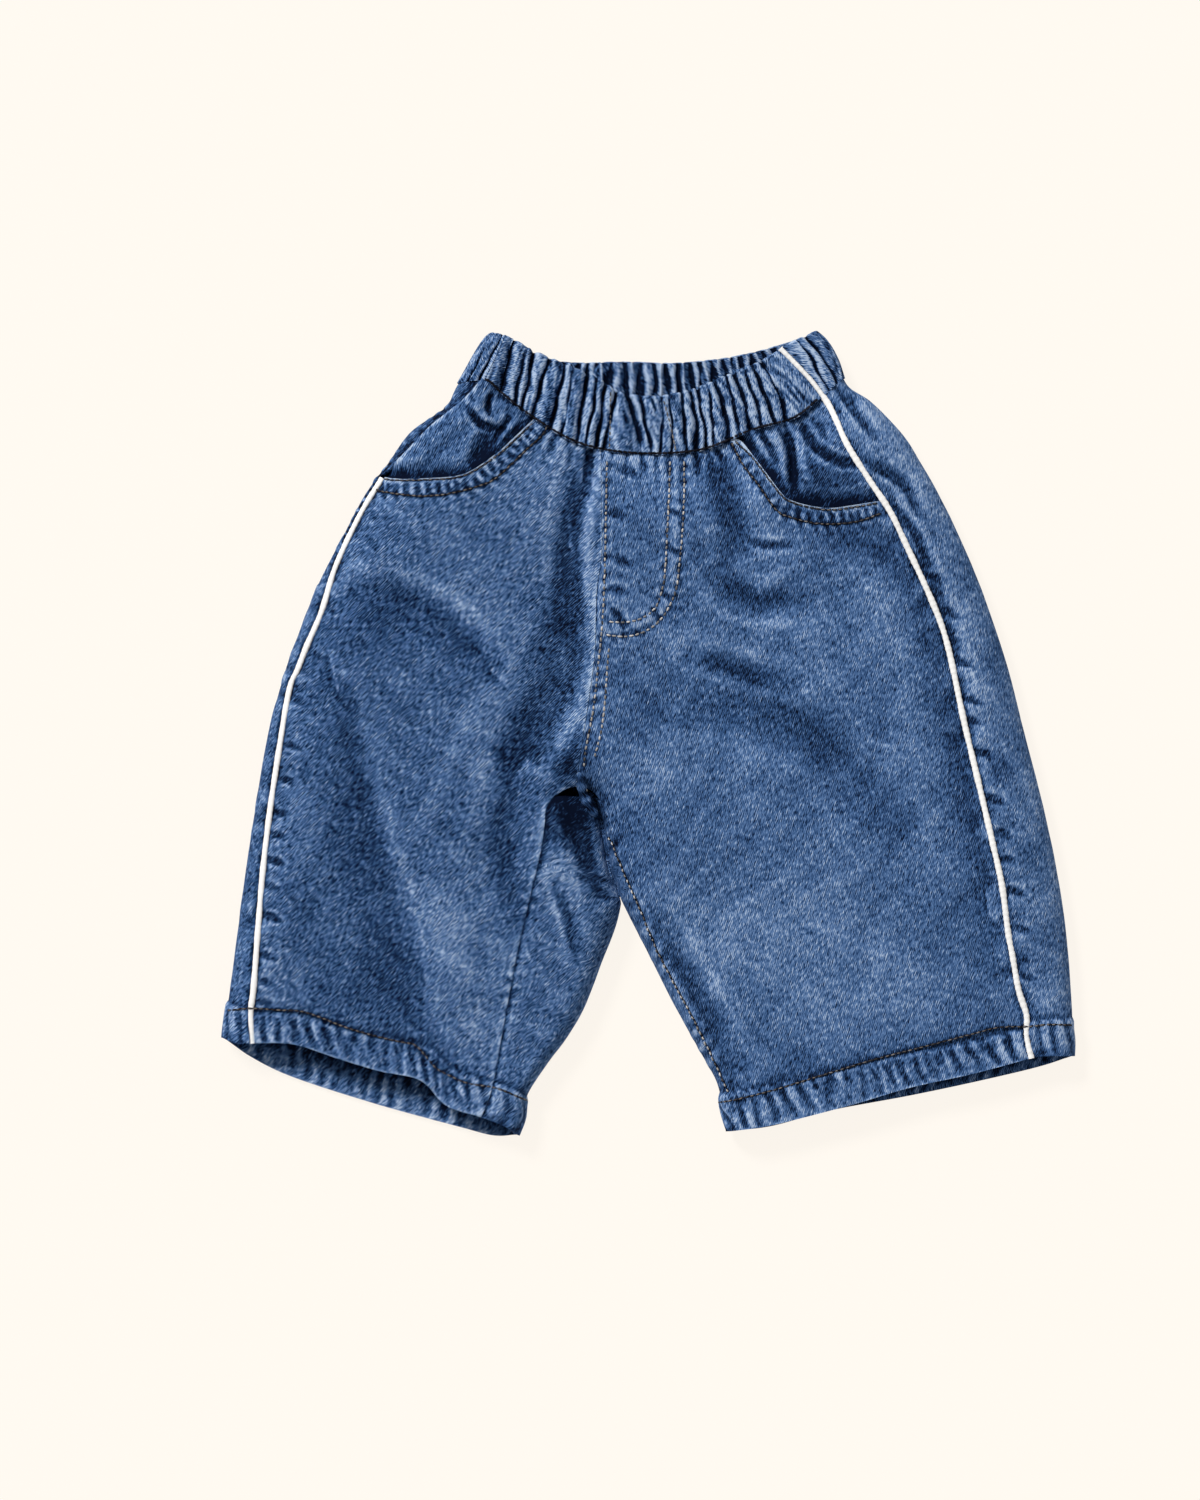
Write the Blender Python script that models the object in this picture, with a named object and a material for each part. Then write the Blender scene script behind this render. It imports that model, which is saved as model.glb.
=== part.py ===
"""Child's pull-on wide denim jeans with piped side seams, laid flat with the front up.

World frame: +X is the viewer's right, +Y points to the waist, +Z is up. The garment
lies on the plane z = 0 and the origin is at the middle of its underside.
Lengths are in millimetres and become metres when a mesh is made.
"Right" and "left" in names are the wearer's, so the right leg has negative X.

Every piece of cloth is a wall around one base surface. The upper base surface rises
from the outline to a crown, the lower one rolls under the outline and lies on the
plane. A wall stands along the base surface's own direction, and its folds move both
faces together, so it never crosses itself.
"""

import math

import bmesh
import bpy
import numpy as np

MM = 0.001
CENTRE = (0.15, -0.27, 0.0)  # moves the middle of the garment's box to the origin

# ---- Cloth and trim --------------------------------------------------------------
DENIM = 1.4            # wall of one layer
HEM_WALL = 2.7         # hem turned twice
HEM_DEPTH = 19.5       # hem turn, measured up the leg
BAND_WALL = 3.0        # waist casing: two layers round the elastic
PIPING_RADIUS = 2.0
PIPING_RISE = -0.2     # centre of the cord against the outer face
SEAM_GAP = 0.3         # clear distance between two pieces at a seam
BAND_GAP = 1.3         # the same under the waist casing, whose edge is wavy
PIPING_ROOM = 2.7      # centre of the cord to the cloth's edge on each side

# ---- How the garment stands up from the plane -------------------------------------
EDGE = 9.0             # height of the outline, where the cloth turns under
ROLL_UNDER = 9.0       # how far in the lower roll reaches
SIDE_ROUND = 8.0       # radius of the upper roll at the outer sides
INNER_ROUND = 12.0     # radius of the upper roll at the inner legs
WAIST_CROWN = 17.5     # crown at the waist seam
HIP_CROWN = 28.0       # crown at the hips
HEM_CROWN = 19.0       # crown at the hems
SWELL = 45.0           # from the waist seam to the full crown
KNEE_Y = -40.0         # below this the crown falls to the hems
HEM_Y = -200.0

INNER_REACH = 14.0     # length of the underside, up to the inner edge, and
INNER_COLUMNS = 8      # how many columns it shares with the cloth beyond that edge
CROTCH_ROWS = [0.482, 0.514, 0.529]  # extra rows of points where the legs part

# ---- Plan curves: x, y -------------------------------------------------------------
OUTER_RIGHT = [(-89.6, 232.6), (-94.8, 228.5), (-105.8, 210.0), (-111.6, 200.7),
               (-116.9, 190.2), (-128.5, 182.1), (-139.5, 173.4), (-151.7, 156.0),
               (-164.4, 138.6), (-178.3, 112.5), (-191.7, 86.4), (-202.1, 60.3),
               (-211.4, 34.2), (-220.7, -0.6), (-228.2, -44.1), (-234.6, -87.6),
               (-239.2, -122.4), (-243.9, -157.2), (-246.5, -176.3)]
OUTER_LEFT = [(96.6, 233.7), (103.5, 226.8), (109.3, 216.3), (115.7, 201.8),
              (129.0, 192.6), (147.6, 173.4), (158.6, 156.0), (168.5, 138.6),
              (181.2, 112.5), (192.3, 86.4), (201.5, 60.3), (209.7, 34.2),
              (218.4, -0.6), (229.4, -44.1), (236.9, -78.9), (242.1, -113.7),
              (245.0, -148.5), (246.2, -174.6), (246.2, -186.8)]
BAND_TOP = [(-89.6, 232.6), (-79.2, 230.0), (-67.9, 223.6), (-47.3, 214.9),
            (-28.1, 207.1), (-17.1, 199.8), (-0.3, 197.2), (13.6, 198.4), (32.2, 203.8),
            (51.3, 212.5), (64.1, 217.5), (76.3, 224.2), (88.4, 230.3), (96.6, 233.7)]
BAND_SEAM = [(-111.6, 203.0), (-100.0, 204.7), (-93.1, 204.2), (-86.1, 197.8),
             (-69.5, 184.7), (-47.3, 171.1), (-27.5, 164.7), (0.3, 162.1), (32.2, 164.7),
             (60.9, 176.0), (86.1, 183.3), (101.2, 195.5), (108.2, 201.8),
             (114.0, 205.9)]
BACK_BAND_TOP = [(-89.6, 232.6), (-68.7, 222.7), (-47.3, 216.6), (-12.5, 216.9),
                 (16.5, 216.3), (48.2, 219.8), (76.8, 226.8), (96.6, 233.7)]
BACK_BAND_SEAM = [(-111.6, 203.0), (-86.1, 192.6), (-51.3, 183.3), (0.3, 181.2),
                  (53.1, 185.0), (87.9, 193.7), (114.0, 205.9)]
CENTRE_FRONT = [(-27.5, 164.7), (-27.3, 135.7), (-27.0, 105.6), (-29.9, 81.2),
                (-31.0, 47.6), (-34.5, 19.7), (-38.6, -6.4), (-40.4, -20.9),
                (-38.6, -30.3)]
CENTRE_BACK = [(0.3, 181.2), (-4.9, 100.9), (-15.4, 31.3), (-28.1, -15.1),
               (-36.6, -32.3)]
INSEAM_RIGHT = [(-38.6, -30.3), (-49.0, -33.1), (-58.3, -41.8), (-60.0, -52.8),
                (-62.3, -68.4), (-68.7, -95.7), (-76.3, -129.3), (-83.2, -165.9),
                (-90.2, -204.2), (-96.6, -222.1)]
INSEAM_LEFT = [(-38.6, -30.3), (-31.2, -34.4), (-25.4, -44.4), (-20.4, -58.6),
               (-14.2, -81.2), (-5.5, -100.3), (7.2, -130.5), (26.4, -167.0),
               (38.0, -193.7), (46.1, -211.1), (51.3, -229.7)]
INNER_RIGHT = [(-35.7, -34.2), (-31.4, -39.4), (-27.4, -53.4), (-22.8, -78.3),
               (-16.9, -95.1), (-16.3, -100.9), (-19.4, -113.7), (-26.4, -131.1),
               (-36.2, -157.2), (-46.1, -174.6), (-58.9, -192.0), (-69.9, -209.4),
               (-72.2, -222.7), (-75.7, -232.6)]
INNER_LEFT = [(-35.7, -34.2), (-30.4, -38.3), (-26.4, -53.4), (-21.8, -78.3),
              (-14.8, -97.4), (1.4, -130.5), (14.8, -157.2), (29.3, -183.3),
              (39.7, -202.4), (42.6, -216.9), (46.1, -230.3)]
HEM_RIGHT = [(-246.5, -176.3), (-238.1, -179.2), (-229.4, -179.2), (-206.8, -179.8),
             (-181.2, -187.9), (-156.9, -195.2), (-132.5, -200.7), (-117.4, -215.2),
             (-96.6, -222.1), (-83.2, -227.4), (-75.7, -232.6)]
HEM_RIGHT_BACK = [(-246.5, -176.3), (-230.0, -187.9), (-205.6, -199.5),
                  (-156.9, -215.2), (-108.2, -228.5), (-89.6, -233.2), (-75.7, -232.6)]
HEM_LEFT = [(46.1, -230.3), (51.3, -229.7), (73.4, -226.2), (116.3, -215.2),
            (152.2, -204.7), (188.8, -196.6), (221.8, -187.9), (231.7, -186.8),
            (246.2, -186.8)]
HEM_LEFT_BACK = [(46.1, -230.3), (70.5, -227.9), (105.3, -218.7), (151.7, -210.0),
                 (192.8, -201.3), (227.1, -193.1), (246.2, -186.8)]
SIDE_RIGHT = [(-153.4, 149.1), (-166.8, 127.0), (-181.8, 95.1), (-189.9, 69.0),
              (-197.4, 51.6), (-203.0, 37.5), (-207.9, 25.5), (-213.7, -9.3),
              (-218.9, -44.1), (-223.0, -78.9), (-225.9, -113.7), (-228.6, -148.0),
              (-230.2, -161.0), (-229.4, -179.2)]
SIDE_LEFT = [(101.2, 195.5), (105.4, 188.6), (109.0, 180.6), (115.1, 166.8),
             (127.3, 147.3), (138.9, 129.9), (147.6, 112.5), (163.8, 77.7),
             (173.1, 51.6), (182.4, 8.1), (190.5, -26.7), (198.6, -61.5),
             (204.4, -87.6), (207.9, -113.7), (211.1, -131.1), (214.3, -148.5),
             (218.9, -163.0), (218.9, -174.6), (221.8, -187.9)]
BAND_SIDE_LEFT = [(76.3, 223.3), (83.8, 215.8), (93.7, 205.3), (101.2, 195.5)]
BAND_SIDE_RIGHT = [(-82.5, 231.0), (-89.5, 216.0), (-95.0, 204.6)]
PLEAT_RIGHT = [(-97.7, 204.7), (-108.2, 192.0), (-126.7, 176.3), (-141.2, 161.2),
               (-151.1, 149.6)]
POCKET_RIGHT = [(-153.4, 149.1), (-144.1, 148.2), (-129.8, 148.5), (-107.7, 150.8),
                (-89.6, 161.8), (-79.8, 170.5), (-66.4, 183.0)]
POCKET_LEFT = [(49.0, 171.5), (54.2, 170.0), (61.0, 161.8), (69.3, 150.8),
               (77.2, 140.4), (82.1, 136.3), (92.5, 133.0), (105.3, 131.3),
               (118.0, 132.8), (135.4, 135.6)]
# Right back panel's edge where the pocket facing's pleat lies over it.
UNDER_PLEAT = [(-93.0, 204.2), (-104.0, 190.5), (-124.6, 174.8), (-141.7, 161.6),
               (-151.9, 150.6)]
FACING_RIGHT_SIDE = [(-97.7, 204.7), (-108.2, 192.0), (-126.7, 176.3), (-141.2, 161.2),
                     (-150.6, 150.4), (-148.5, 141.0)]
FACING_RIGHT_MOUTH = [(-58.8, 177.0), (-73.4, 163.6), (-83.2, 154.9), (-93.1, 147.3)]
FACING_RIGHT_FOOT = [(-148.5, 141.0), (-126.7, 139.2), (-104.7, 142.1), (-93.1, 147.3)]
FACING_LEFT_MOUTH = [(42.6, 168.8), (53.6, 157.2), (62.3, 145.6), (71.0, 132.8)]
FACING_LEFT_FOOT = [(71.0, 132.8), (79.8, 127.0), (91.3, 123.5), (106.4, 122.4),
                    (120.3, 124.1), (135.0, 128.4)]

# ---- Folds -------------------------------------------------------------------------
# name, route from its waist end to its hem end, depth (negative is a ridge), and how
# far the cloth slopes on the route's right hand and left hand.
FRONT_FOLDS = [
    ("beside the fly", [(-29, 175), (-34, 107), (-37, 49), (-43, 8)], 5.5, 22, 8),
    ("hip to thigh", [(-181, 83), (-144, 79), (-115, 63), (-97, 42)], 4.0, 24, 11),
    ("inner thigh", [(-77, 26), (-92, -4), (-96, -38), (-96, -85), (-79, -117)], 5.0,
     12, 30),
    ("down the thigh", [(-177, 11), (-163, -50), (-151, -108), (-140, -163),
                        (-132, -215)], 4.5, 36, 16),
    ("thigh pinch", [(-103, -26), (-119, -44), (-135, -62)], -1.6, 11, 11),
    ("shin crown", [(-127, -90), (-121, -125), (-114, -155)], -2.0, 18, 18),
    ("crotch hollow", [(-50, -38), (-40, -72), (-29, -100)], 5.0, 12, 12),
    ("under the crotch", [(-46, -128), (-43, -145), (-40, -162)], 2.0, 10, 10),
    ("pocket side", [(30, 172), (32, 142), (30, 116)], 3.6, 10, 10),
    ("below the pocket", [(32, 114), (40, 87), (56, 78), (81, 84)], 3.0, 11, 11),
    ("beside the piping", [(78, 127), (148, 94), (167, 54), (171, -31), (177, -78)],
     2.6, 15, 13),
    ("across the thigh", [(24, 55), (65, 26), (117, -4), (146, -38), (149, -58)], 3.2,
     24, 24),
    ("inner shin", [(7, -113), (30, -149), (51, -192)], 2.6, 12, 14),
]
BACK_FOLDS = [
    ("right seat", [(-150, 120), (-110, 78), (-62, 52)], 2.6, 16, 12),
    ("right thigh", [(-190, 5), (-150, -25), (-95, -48)], 2.4, 14, 18),
    ("right shin", [(-95, -110), (-112, -150), (-118, -205)], 2.2, 12, 16),
    ("left seat", [(142, 118), (98, 80), (46, 62)], 2.6, 12, 16),
    ("left thigh", [(196, 20), (150, -14), (70, -30)], 2.4, 18, 14),
    ("left shin", [(96, -100), (122, -146), (150, -196)], 2.2, 15, 12),
]
RIGHT_FACING_FOLDS = [
    ("corner valley", [(-93, 201), (-92, 188), (-90, 176)], 2.6, 6, 6),
    ("hollow under the lobe", [(-99, 176), (-92, 166), (-84, 170)], 3.0, 8, 8),
    ("lobe", [(-87, 193), (-86, 184), (-85, 178)], -2.4, 8, 8),
    ("mouth valley", [(-69, 184), (-76, 176), (-84, 171)], 2.6, 5, 5),
]
LEFT_FACING_FOLDS = [
    ("first lobe", [(58, 174), (64, 166), (69, 156)], -2.4, 6, 6),
    ("second lobe", [(70, 174), (79, 162), (80, 146)], -2.6, 7, 7),
    ("valley", [(82, 180), (85, 160), (84, 140)], 2.8, 6, 6),
    ("third lobe", [(89, 168), (92, 152), (98, 142)], -2.0, 8, 8),
    ("long valley", [(88, 179), (98, 164), (112, 157)], 2.6, 7, 7),
]

# ---- Gathers of the waist casing -----------------------------------------------------
FRONT_GATHERS = 32
BACK_GATHERS = 36
COLUMNS_PER_GATHER = 4
GATHER_HEIGHT = 1.1
BAND_BULGE = 0.8

# ---- Mock fly -------------------------------------------------------------------------
FLY_WIDTH = 46.0
FLY_RISE = 0.8
FLY_STRAIGHT_Y = 85.0  # the J stitch leaves its straight part here
FLY_FOOT_Y = 57.0

DENIM_BLUE = (0.058, 0.108, 0.223, 1.0)
PIPING_WHITE = (0.80, 0.79, 0.75, 1.0)


def smooth_step(value):
    value = np.clip(value, 0.0, 1.0)
    return value * value * (3.0 - 2.0 * value)


def curve(points, count=160):
    """A Catmull-Rom curve through the points, resampled evenly along its length."""
    points = np.asarray(points, float)
    ends = (2 * points[0] - points[1], 2 * points[-1] - points[-2])
    knots = np.vstack([ends[0], points, ends[1]])
    t = np.linspace(0.0, len(points) - 1.0, 12 * len(points))
    k = np.minimum(t.astype(int), len(points) - 2)
    s = (t - k)[:, None]
    a, b, c, d = knots[k], knots[k + 1], knots[k + 2], knots[k + 3]
    line = 0.5 * (2 * b + (c - a) * s + (2 * a - 5 * b + 4 * c - d) * s ** 2
                  + (3 * b - a - 3 * c + d) * s ** 3)
    return at(line, np.linspace(0.0, 1.0, count))


def at(line, share):
    """Points at the given shares of a polyline's length."""
    steps = np.linalg.norm(np.diff(line, axis=0), axis=1)
    length = np.concatenate([[0.0], np.cumsum(steps)])
    where = np.asarray(share) * length[-1]
    return np.stack([np.interp(where, length, line[:, i])
                     for i in range(line.shape[1])], axis=-1)


def join(first, second, share, count=200):
    """Two lines end to end; the first takes the given share of the parameter."""
    t = np.linspace(0.0, 1.0, count)
    head = at(first, np.clip(t / share, 0, 1))
    tail = at(second, np.clip((t - share) / (1 - share), 0, 1))
    return Route(np.where((t < share)[:, None], head, tail))


class Route:
    """A line read by its own even parameter instead of by its length."""

    def __init__(self, points):
        self.points = np.asarray(points, float)

    def read(self, t):
        grid = np.linspace(0.0, 1.0, len(self.points))
        return np.stack([np.interp(t, grid, self.points[:, i]) for i in (0, 1)], -1)

    def read_below(self, t, gap):
        """Read it with its first point the given distance further along."""
        length = np.linalg.norm(np.diff(self.points, axis=0), axis=1).sum()
        return self.read(t + gap / max(length, gap) * (1.0 - t) ** 8)


def beside(line, distance):
    """The line moved sideways, towards its left hand when the distance is positive."""
    points = line.points if isinstance(line, Route) else line
    run = np.gradient(points, axis=0)
    run /= np.linalg.norm(run, axis=1, keepdims=True)
    moved = points + distance * np.stack([-run[:, 1], run[:, 0]], axis=1)
    return Route(moved)


def between(line, axis, start, end):
    """The stretch of a line from one coordinate on the axis to another."""
    share = np.linspace(0.0, 1.0, 800)
    fine = at(line, share)
    first = share[np.argmin(abs(fine[:, axis] - start))]
    last = share[np.argmin(abs(fine[:, axis] - end))]
    return at(line, np.linspace(first, last, 120))


def patch(left, right, top, bottom, u, v, gap=0.0):
    """Plan points of a four-sided patch: ruled between its sides, bent by its ends."""
    left_side = left.read_below(v, gap)[:, None]
    right_side = right.read_below(v, gap)[:, None]
    ends = []
    for side in (top, bottom):
        bend = side.read(u) - ((1 - u)[:, None] * side.read(0.0)
                               + u[:, None] * side.read(1.0))
        ends.append(bend[None])
    u, v = u[None, :, None], v[:, None, None]
    return (1 - u) * left_side + u * right_side + (1 - v) * ends[0] + v * ends[1]


outer_right, outer_left = curve(OUTER_RIGHT), curve(OUTER_LEFT)
inner_right, inner_left = curve(INNER_RIGHT), curve(INNER_LEFT)
band_seam = curve(BAND_SEAM)
band_top = curve(BAND_TOP)


# The outline, each line run so that the cloth is on its left hand.
OUTER_EDGES = (outer_right, outer_left[::-1])
INNER_EDGES = (inner_right[::-1], inner_left)


def nearest(xy, lines):
    """Distance to the nearest of the lines, and the unit direction away from it.

    On a line itself the direction is the one square to it, towards its left hand.
    """
    start = np.vstack([line[:-1] for line in lines])
    run = np.vstack([np.diff(line, axis=0) for line in lines])
    flat = xy.reshape(-1, 1, 2)
    share = ((flat - start) * run).sum(2) / (run * run).sum(1)
    gap = flat - start - np.clip(share, 0, 1)[..., None] * run
    size = np.linalg.norm(gap, axis=2)
    pick = size.argmin(1)
    rows = np.arange(len(pick))
    size, gap, run = size[rows, pick], gap[rows, pick], run[pick]
    square = np.stack([-run[:, 1], run[:, 0]], axis=1)
    square /= np.linalg.norm(square, axis=1, keepdims=True)
    clear = np.clip(size / 0.6, 0.0, 1.0)[:, None]
    way = clear * gap / np.maximum(size, 1e-6)[:, None] + (1.0 - clear) * square
    way /= np.linalg.norm(way, axis=1, keepdims=True)
    return size.reshape(xy.shape[:-1]), way.reshape(xy.shape)


def quarter(share):
    """Height of a quarter ellipse, and its slope."""
    share = np.clip(share, 1e-3, 1.0)
    height = np.sqrt(share * (2.0 - share))
    return height, (1.0 - share) / height


def crown(xy):
    """Height of the upper surface away from the edges."""
    seam_y = np.interp(xy[..., 0], band_seam[:, 0], band_seam[:, 1])
    below = smooth_step((seam_y - xy[..., 1]) / SWELL)
    fall = smooth_step((KNEE_Y - xy[..., 1]) / (KNEE_Y - HEM_Y))
    body = HIP_CROWN + (HEM_CROWN - HIP_CROWN) * fall
    return WAIST_CROWN + (body - WAIST_CROWN) * below


def upper(xy):
    """Upper base surface: its points and its outward direction."""
    out, out_way = nearest(xy, OUTER_EDGES)
    inn, inn_way = nearest(xy, INNER_EDGES)
    rise = crown(xy) - EDGE
    out_reach, in_reach = rise ** 2 / SIDE_ROUND, rise ** 2 / INNER_ROUND
    out_q, out_slope = quarter(out / out_reach)
    in_q, in_slope = quarter(inn / in_reach)
    height = EDGE + rise * out_q * in_q
    slope = (rise * out_slope * in_q / out_reach)[..., None] * out_way
    slope = slope + (rise * in_slope * out_q / in_reach)[..., None] * inn_way
    return with_direction(xy, height, -slope, 1.0)


def lower(xy):
    """Lower base surface: it rolls under the outline and lies on the plane."""
    edge, way = nearest(xy, OUTER_EDGES + INNER_EDGES)
    q, slope = quarter(edge / ROLL_UNDER)
    q = np.where(edge >= ROLL_UNDER, 1.0, q)
    height = EDGE * (1.0 - q)
    outward = -(EDGE * slope / ROLL_UNDER)[..., None] * way
    return with_direction(xy, height, outward, -1.0)


def with_direction(xy, height, outward, up):
    """Points of a surface and its unit direction, from its plan and its slopes."""
    base = np.concatenate([xy, height[..., None]], axis=-1)
    way = np.concatenate([outward, np.full_like(height, up)[..., None]], axis=-1)
    return base, way / np.linalg.norm(way, axis=-1, keepdims=True)


def relief(xy, folds):
    """Height of the folds: each is deepest on its route and fades to both hands."""
    total = np.zeros(xy.shape[:-1])
    for _, route, depth, right_hand, left_hand in folds:
        line = curve(route, 32)
        run = np.diff(line, axis=0)
        gap = xy.reshape(-1, 1, 2) - line[:-1]
        share = np.clip((gap * run).sum(2) / (run * run).sum(1), 0, 1)
        gap = gap - share[..., None] * run
        size = np.linalg.norm(gap, axis=2)
        pick = size.argmin(1)
        rows = np.arange(len(pick))
        size, gap, run = size[rows, pick], gap[rows, pick], run[pick]
        hand = run[:, 0] * gap[:, 1] - run[:, 1] * gap[:, 0]
        reach = np.where(hand < 0, right_hand, left_hand)
        along = (pick + share[rows, pick]) / 31.0
        taper = np.sqrt(np.sin(math.pi * np.clip(along, 0.05, 0.95)))
        fade = np.clip(1.0 - (size / reach) ** 2, 0.0, 1.0) ** 2
        total -= (depth * taper * fade).reshape(total.shape)
    return total


def clear_of_outline(xy):
    """1 on the open cloth, 0 on the outline, where a fold would change the shape."""
    edge = nearest(xy, OUTER_EDGES + INNER_EDGES)[0]
    return smooth_step(edge / 8.0)


def front_relief(xy):
    """Folds of the front and the step of the mock fly, whose foot is a quarter oval."""
    centre = np.interp(xy[..., 1], [-30.3, 47.6, 105.6, 164.7],
                       [-38.6, -31.0, -27.0, -27.5])
    turn = np.clip((FLY_STRAIGHT_Y - xy[..., 1]) / (FLY_STRAIGHT_Y - FLY_FOOT_Y), 0, 1)
    width = FLY_WIDTH * np.sqrt(1.0 - turn ** 2)
    inside = smooth_step((centre + width - xy[..., 0]) / 3.0)
    inside = inside * (xy[..., 0] > centre) * (turn < 1.0)
    return relief(xy, FRONT_FOLDS) * clear_of_outline(xy) + FLY_RISE * inside


def back_relief(xy, face):
    """Folds of a back panel: on top where it faces up, else on its underside."""
    on_top = front_relief(xy)
    under = np.minimum(relief(xy, BACK_FOLDS), 0.0) * clear_of_outline(xy)
    return np.where(face > 0, on_top, under)


def solid(name, outer, inner, colour, roughness):
    """A closed wall between two grids of points in millimetres."""
    rows, columns = outer.shape[:2]
    size = rows * columns
    points = np.concatenate([outer.reshape(-1, 3), inner.reshape(-1, 3)])
    index = np.arange(size).reshape(rows, columns)
    a, b = index[:-1, :-1].ravel(), index[:-1, 1:].ravel()
    c, d = index[1:, 1:].ravel(), index[1:, :-1].ravel()
    rim = np.concatenate([index[0, :], index[1:, -1], index[-1, -2::-1],
                          index[-2:0:-1, 0]])
    after = np.roll(rim, -1)
    faces = np.vstack([np.stack([a, d, c, b], 1), np.stack([a, b, c, d], 1) + size,
                       np.stack([rim, after, after + size, rim + size], 1)])
    return body(name, points, faces.tolist(), colour, roughness)


def body(name, points, faces, colour, roughness):
    """A named closed mesh with its faces turned outwards."""
    mesh = bpy.data.meshes.new(name)
    mesh.from_pydata(((points + CENTRE) * MM).tolist(), [], faces)
    work = bmesh.new()
    work.from_mesh(mesh)
    bmesh.ops.recalc_face_normals(work, faces=work.faces)
    if work.calc_volume(signed=True) < 0:
        bmesh.ops.reverse_faces(work, faces=work.faces)
    work.to_mesh(mesh)
    work.free()
    mesh.shade_smooth()
    mesh.set_sharp_from_angle(angle=math.radians(50))
    mesh.materials.append(cloth_material(colour, roughness))
    piece = bpy.data.objects.new(name, mesh)
    bpy.context.collection.objects.link(piece)
    return piece


def cloth_material(colour, roughness):
    material = bpy.data.materials.new("cloth")
    material.use_nodes = True
    shader = material.node_tree.nodes["Principled BSDF"]
    shader.inputs["Base Color"].default_value = colour
    shader.inputs["Roughness"].default_value = roughness
    shader.inputs["Metallic"].default_value = 0.0
    return material


def denim(name, base, way, height, wall):
    """A wall of cloth under the face that stands the given height off the base."""
    outer = base + way * height[..., None]
    inner = base + way * (height - wall)[..., None]
    return solid(name, outer, inner, DENIM_BLUE, 0.85)


def leg_rows():
    """Row parameters from waist to hem: the crotch is at 0.5, the wall steps at the hem."""
    hem = 1.0 - HEM_DEPTH / 360.0
    upper_half = 0.5 * np.linspace(0.0, 1.0, 12) ** 1.2
    lower_half = np.linspace(0.5, hem, 11)[1:]
    rows = np.concatenate([upper_half, lower_half, CROTCH_ROWS, [hem + 0.006, 1.0]])
    rows.sort()
    return rows, np.where(rows > hem + 0.001, HEM_WALL, DENIM)


def front_panel(name, left, right, top, bottom):
    """A front panel inside four plan lines: sides from waist to hem, top and hem."""
    rows, wall = leg_rows()
    xy = patch(left, right, top, bottom, np.linspace(0.0, 1.0, 18), rows, BAND_GAP)
    base, way = upper(xy)
    return denim(name, base, way, front_relief(xy), wall[:, None])


def back_panel(name, strip_out, floor, strip_in, columns):
    """Outer strip on top, the underside, and the strip beyond the inner leg."""
    rows, wall = leg_rows()
    near_end = np.sin(0.5 * math.pi * np.linspace(0, 1, 16))
    both_ends = 0.5 - 0.5 * np.cos(math.pi * np.linspace(0, 1, 60))
    near_start = 1.0 - np.cos(0.5 * math.pi * np.linspace(0, 1, 24))
    parts = [(patch(*strip_out, near_end, rows, BAND_GAP), upper, 1.0),
             (patch(*floor, both_ends, rows, BAND_GAP), lower, -1.0),
             (patch(*strip_in, near_start, rows, BAND_GAP), upper, 1.0)]
    base, way, height = [], [], []
    for xy, surface, face in parts:
        points, outward = surface(xy)
        base.append(points)
        way.append(outward)
        height.append(back_relief(xy, face))
    above_crotch = rows < 0.501
    for part in (base, way, height):
        part[2][above_crotch] = part[1][above_crotch, -1:]
    inner_edge = len(near_end) + len(both_ends) - 2
    base, way, height = even_columns(np.concatenate(base, 1), np.concatenate(way, 1),
                                     np.concatenate(height, 1), columns, inner_edge)
    return denim(name, base, way, height, wall[:, None])


def reach_up(inside, seam):
    """The back panel's inner edge, which leaves the crotch to meet the inseam."""
    t = np.linspace(0.0, 1.0, 200)
    start = inside.read(t)
    end = seam.read(np.clip(2.0 * t - 1.0, 0.0, 1.0))
    rise = smooth_step((t - 0.5) / 0.13)[:, None]
    return Route(start + (end - start) * rise)


def even_columns(base, way, height, columns, inner_edge=None):
    """Resample each row so that a column spans like lengths and like turns.

    With the index of the inner edge, the last INNER_COLUMNS of every row start
    INNER_REACH before it, so that the rows above and below the crotch agree.
    """
    turn_length = 12.0
    step = np.linalg.norm(np.diff(base, axis=1), axis=2)
    turn = np.linalg.norm(np.diff(way, axis=1), axis=2)
    measure = np.cumsum(step + turn_length * turn, axis=1)
    measure = np.concatenate([np.zeros((len(base), 1)), measure], axis=1)
    data = np.concatenate([base, way, height[..., None]], axis=2)
    rows = []
    for m, length, row in zip(measure, np.cumsum(step, axis=1), data):
        stops = np.linspace(0.0, m[-1], columns)
        if inner_edge is not None:
            split = np.interp(length[inner_edge] - INNER_REACH, length, m[1:])
            stops = np.concatenate([np.linspace(0.0, split, columns - INNER_COLUMNS),
                                    np.linspace(split, m[-1], INNER_COLUMNS + 1)[1:]])
        rows.append(np.stack([np.interp(stops, m, row[:, i]) for i in range(7)], -1))
    data = np.stack(rows)
    way = data[..., 3:6]
    return data[..., :3], way / np.linalg.norm(way, axis=2, keepdims=True), data[..., 6]


def gathers(share, count, seed):
    """Uneven rounded gathers, with a valley at both ends."""
    drift = 0.35 * np.sin(2 * math.pi * (3 * share + seed)) \
        + 0.25 * np.sin(2 * math.pi * (7 * share + 0.3 * seed))
    drift = drift - drift[0] * (1 - share) - drift[-1] * share
    size = GATHER_HEIGHT * (0.8 + 0.2 * np.sin(2 * math.pi * (5 * share + seed)))
    return -size * np.cos(2 * math.pi * (count * share + drift))


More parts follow.
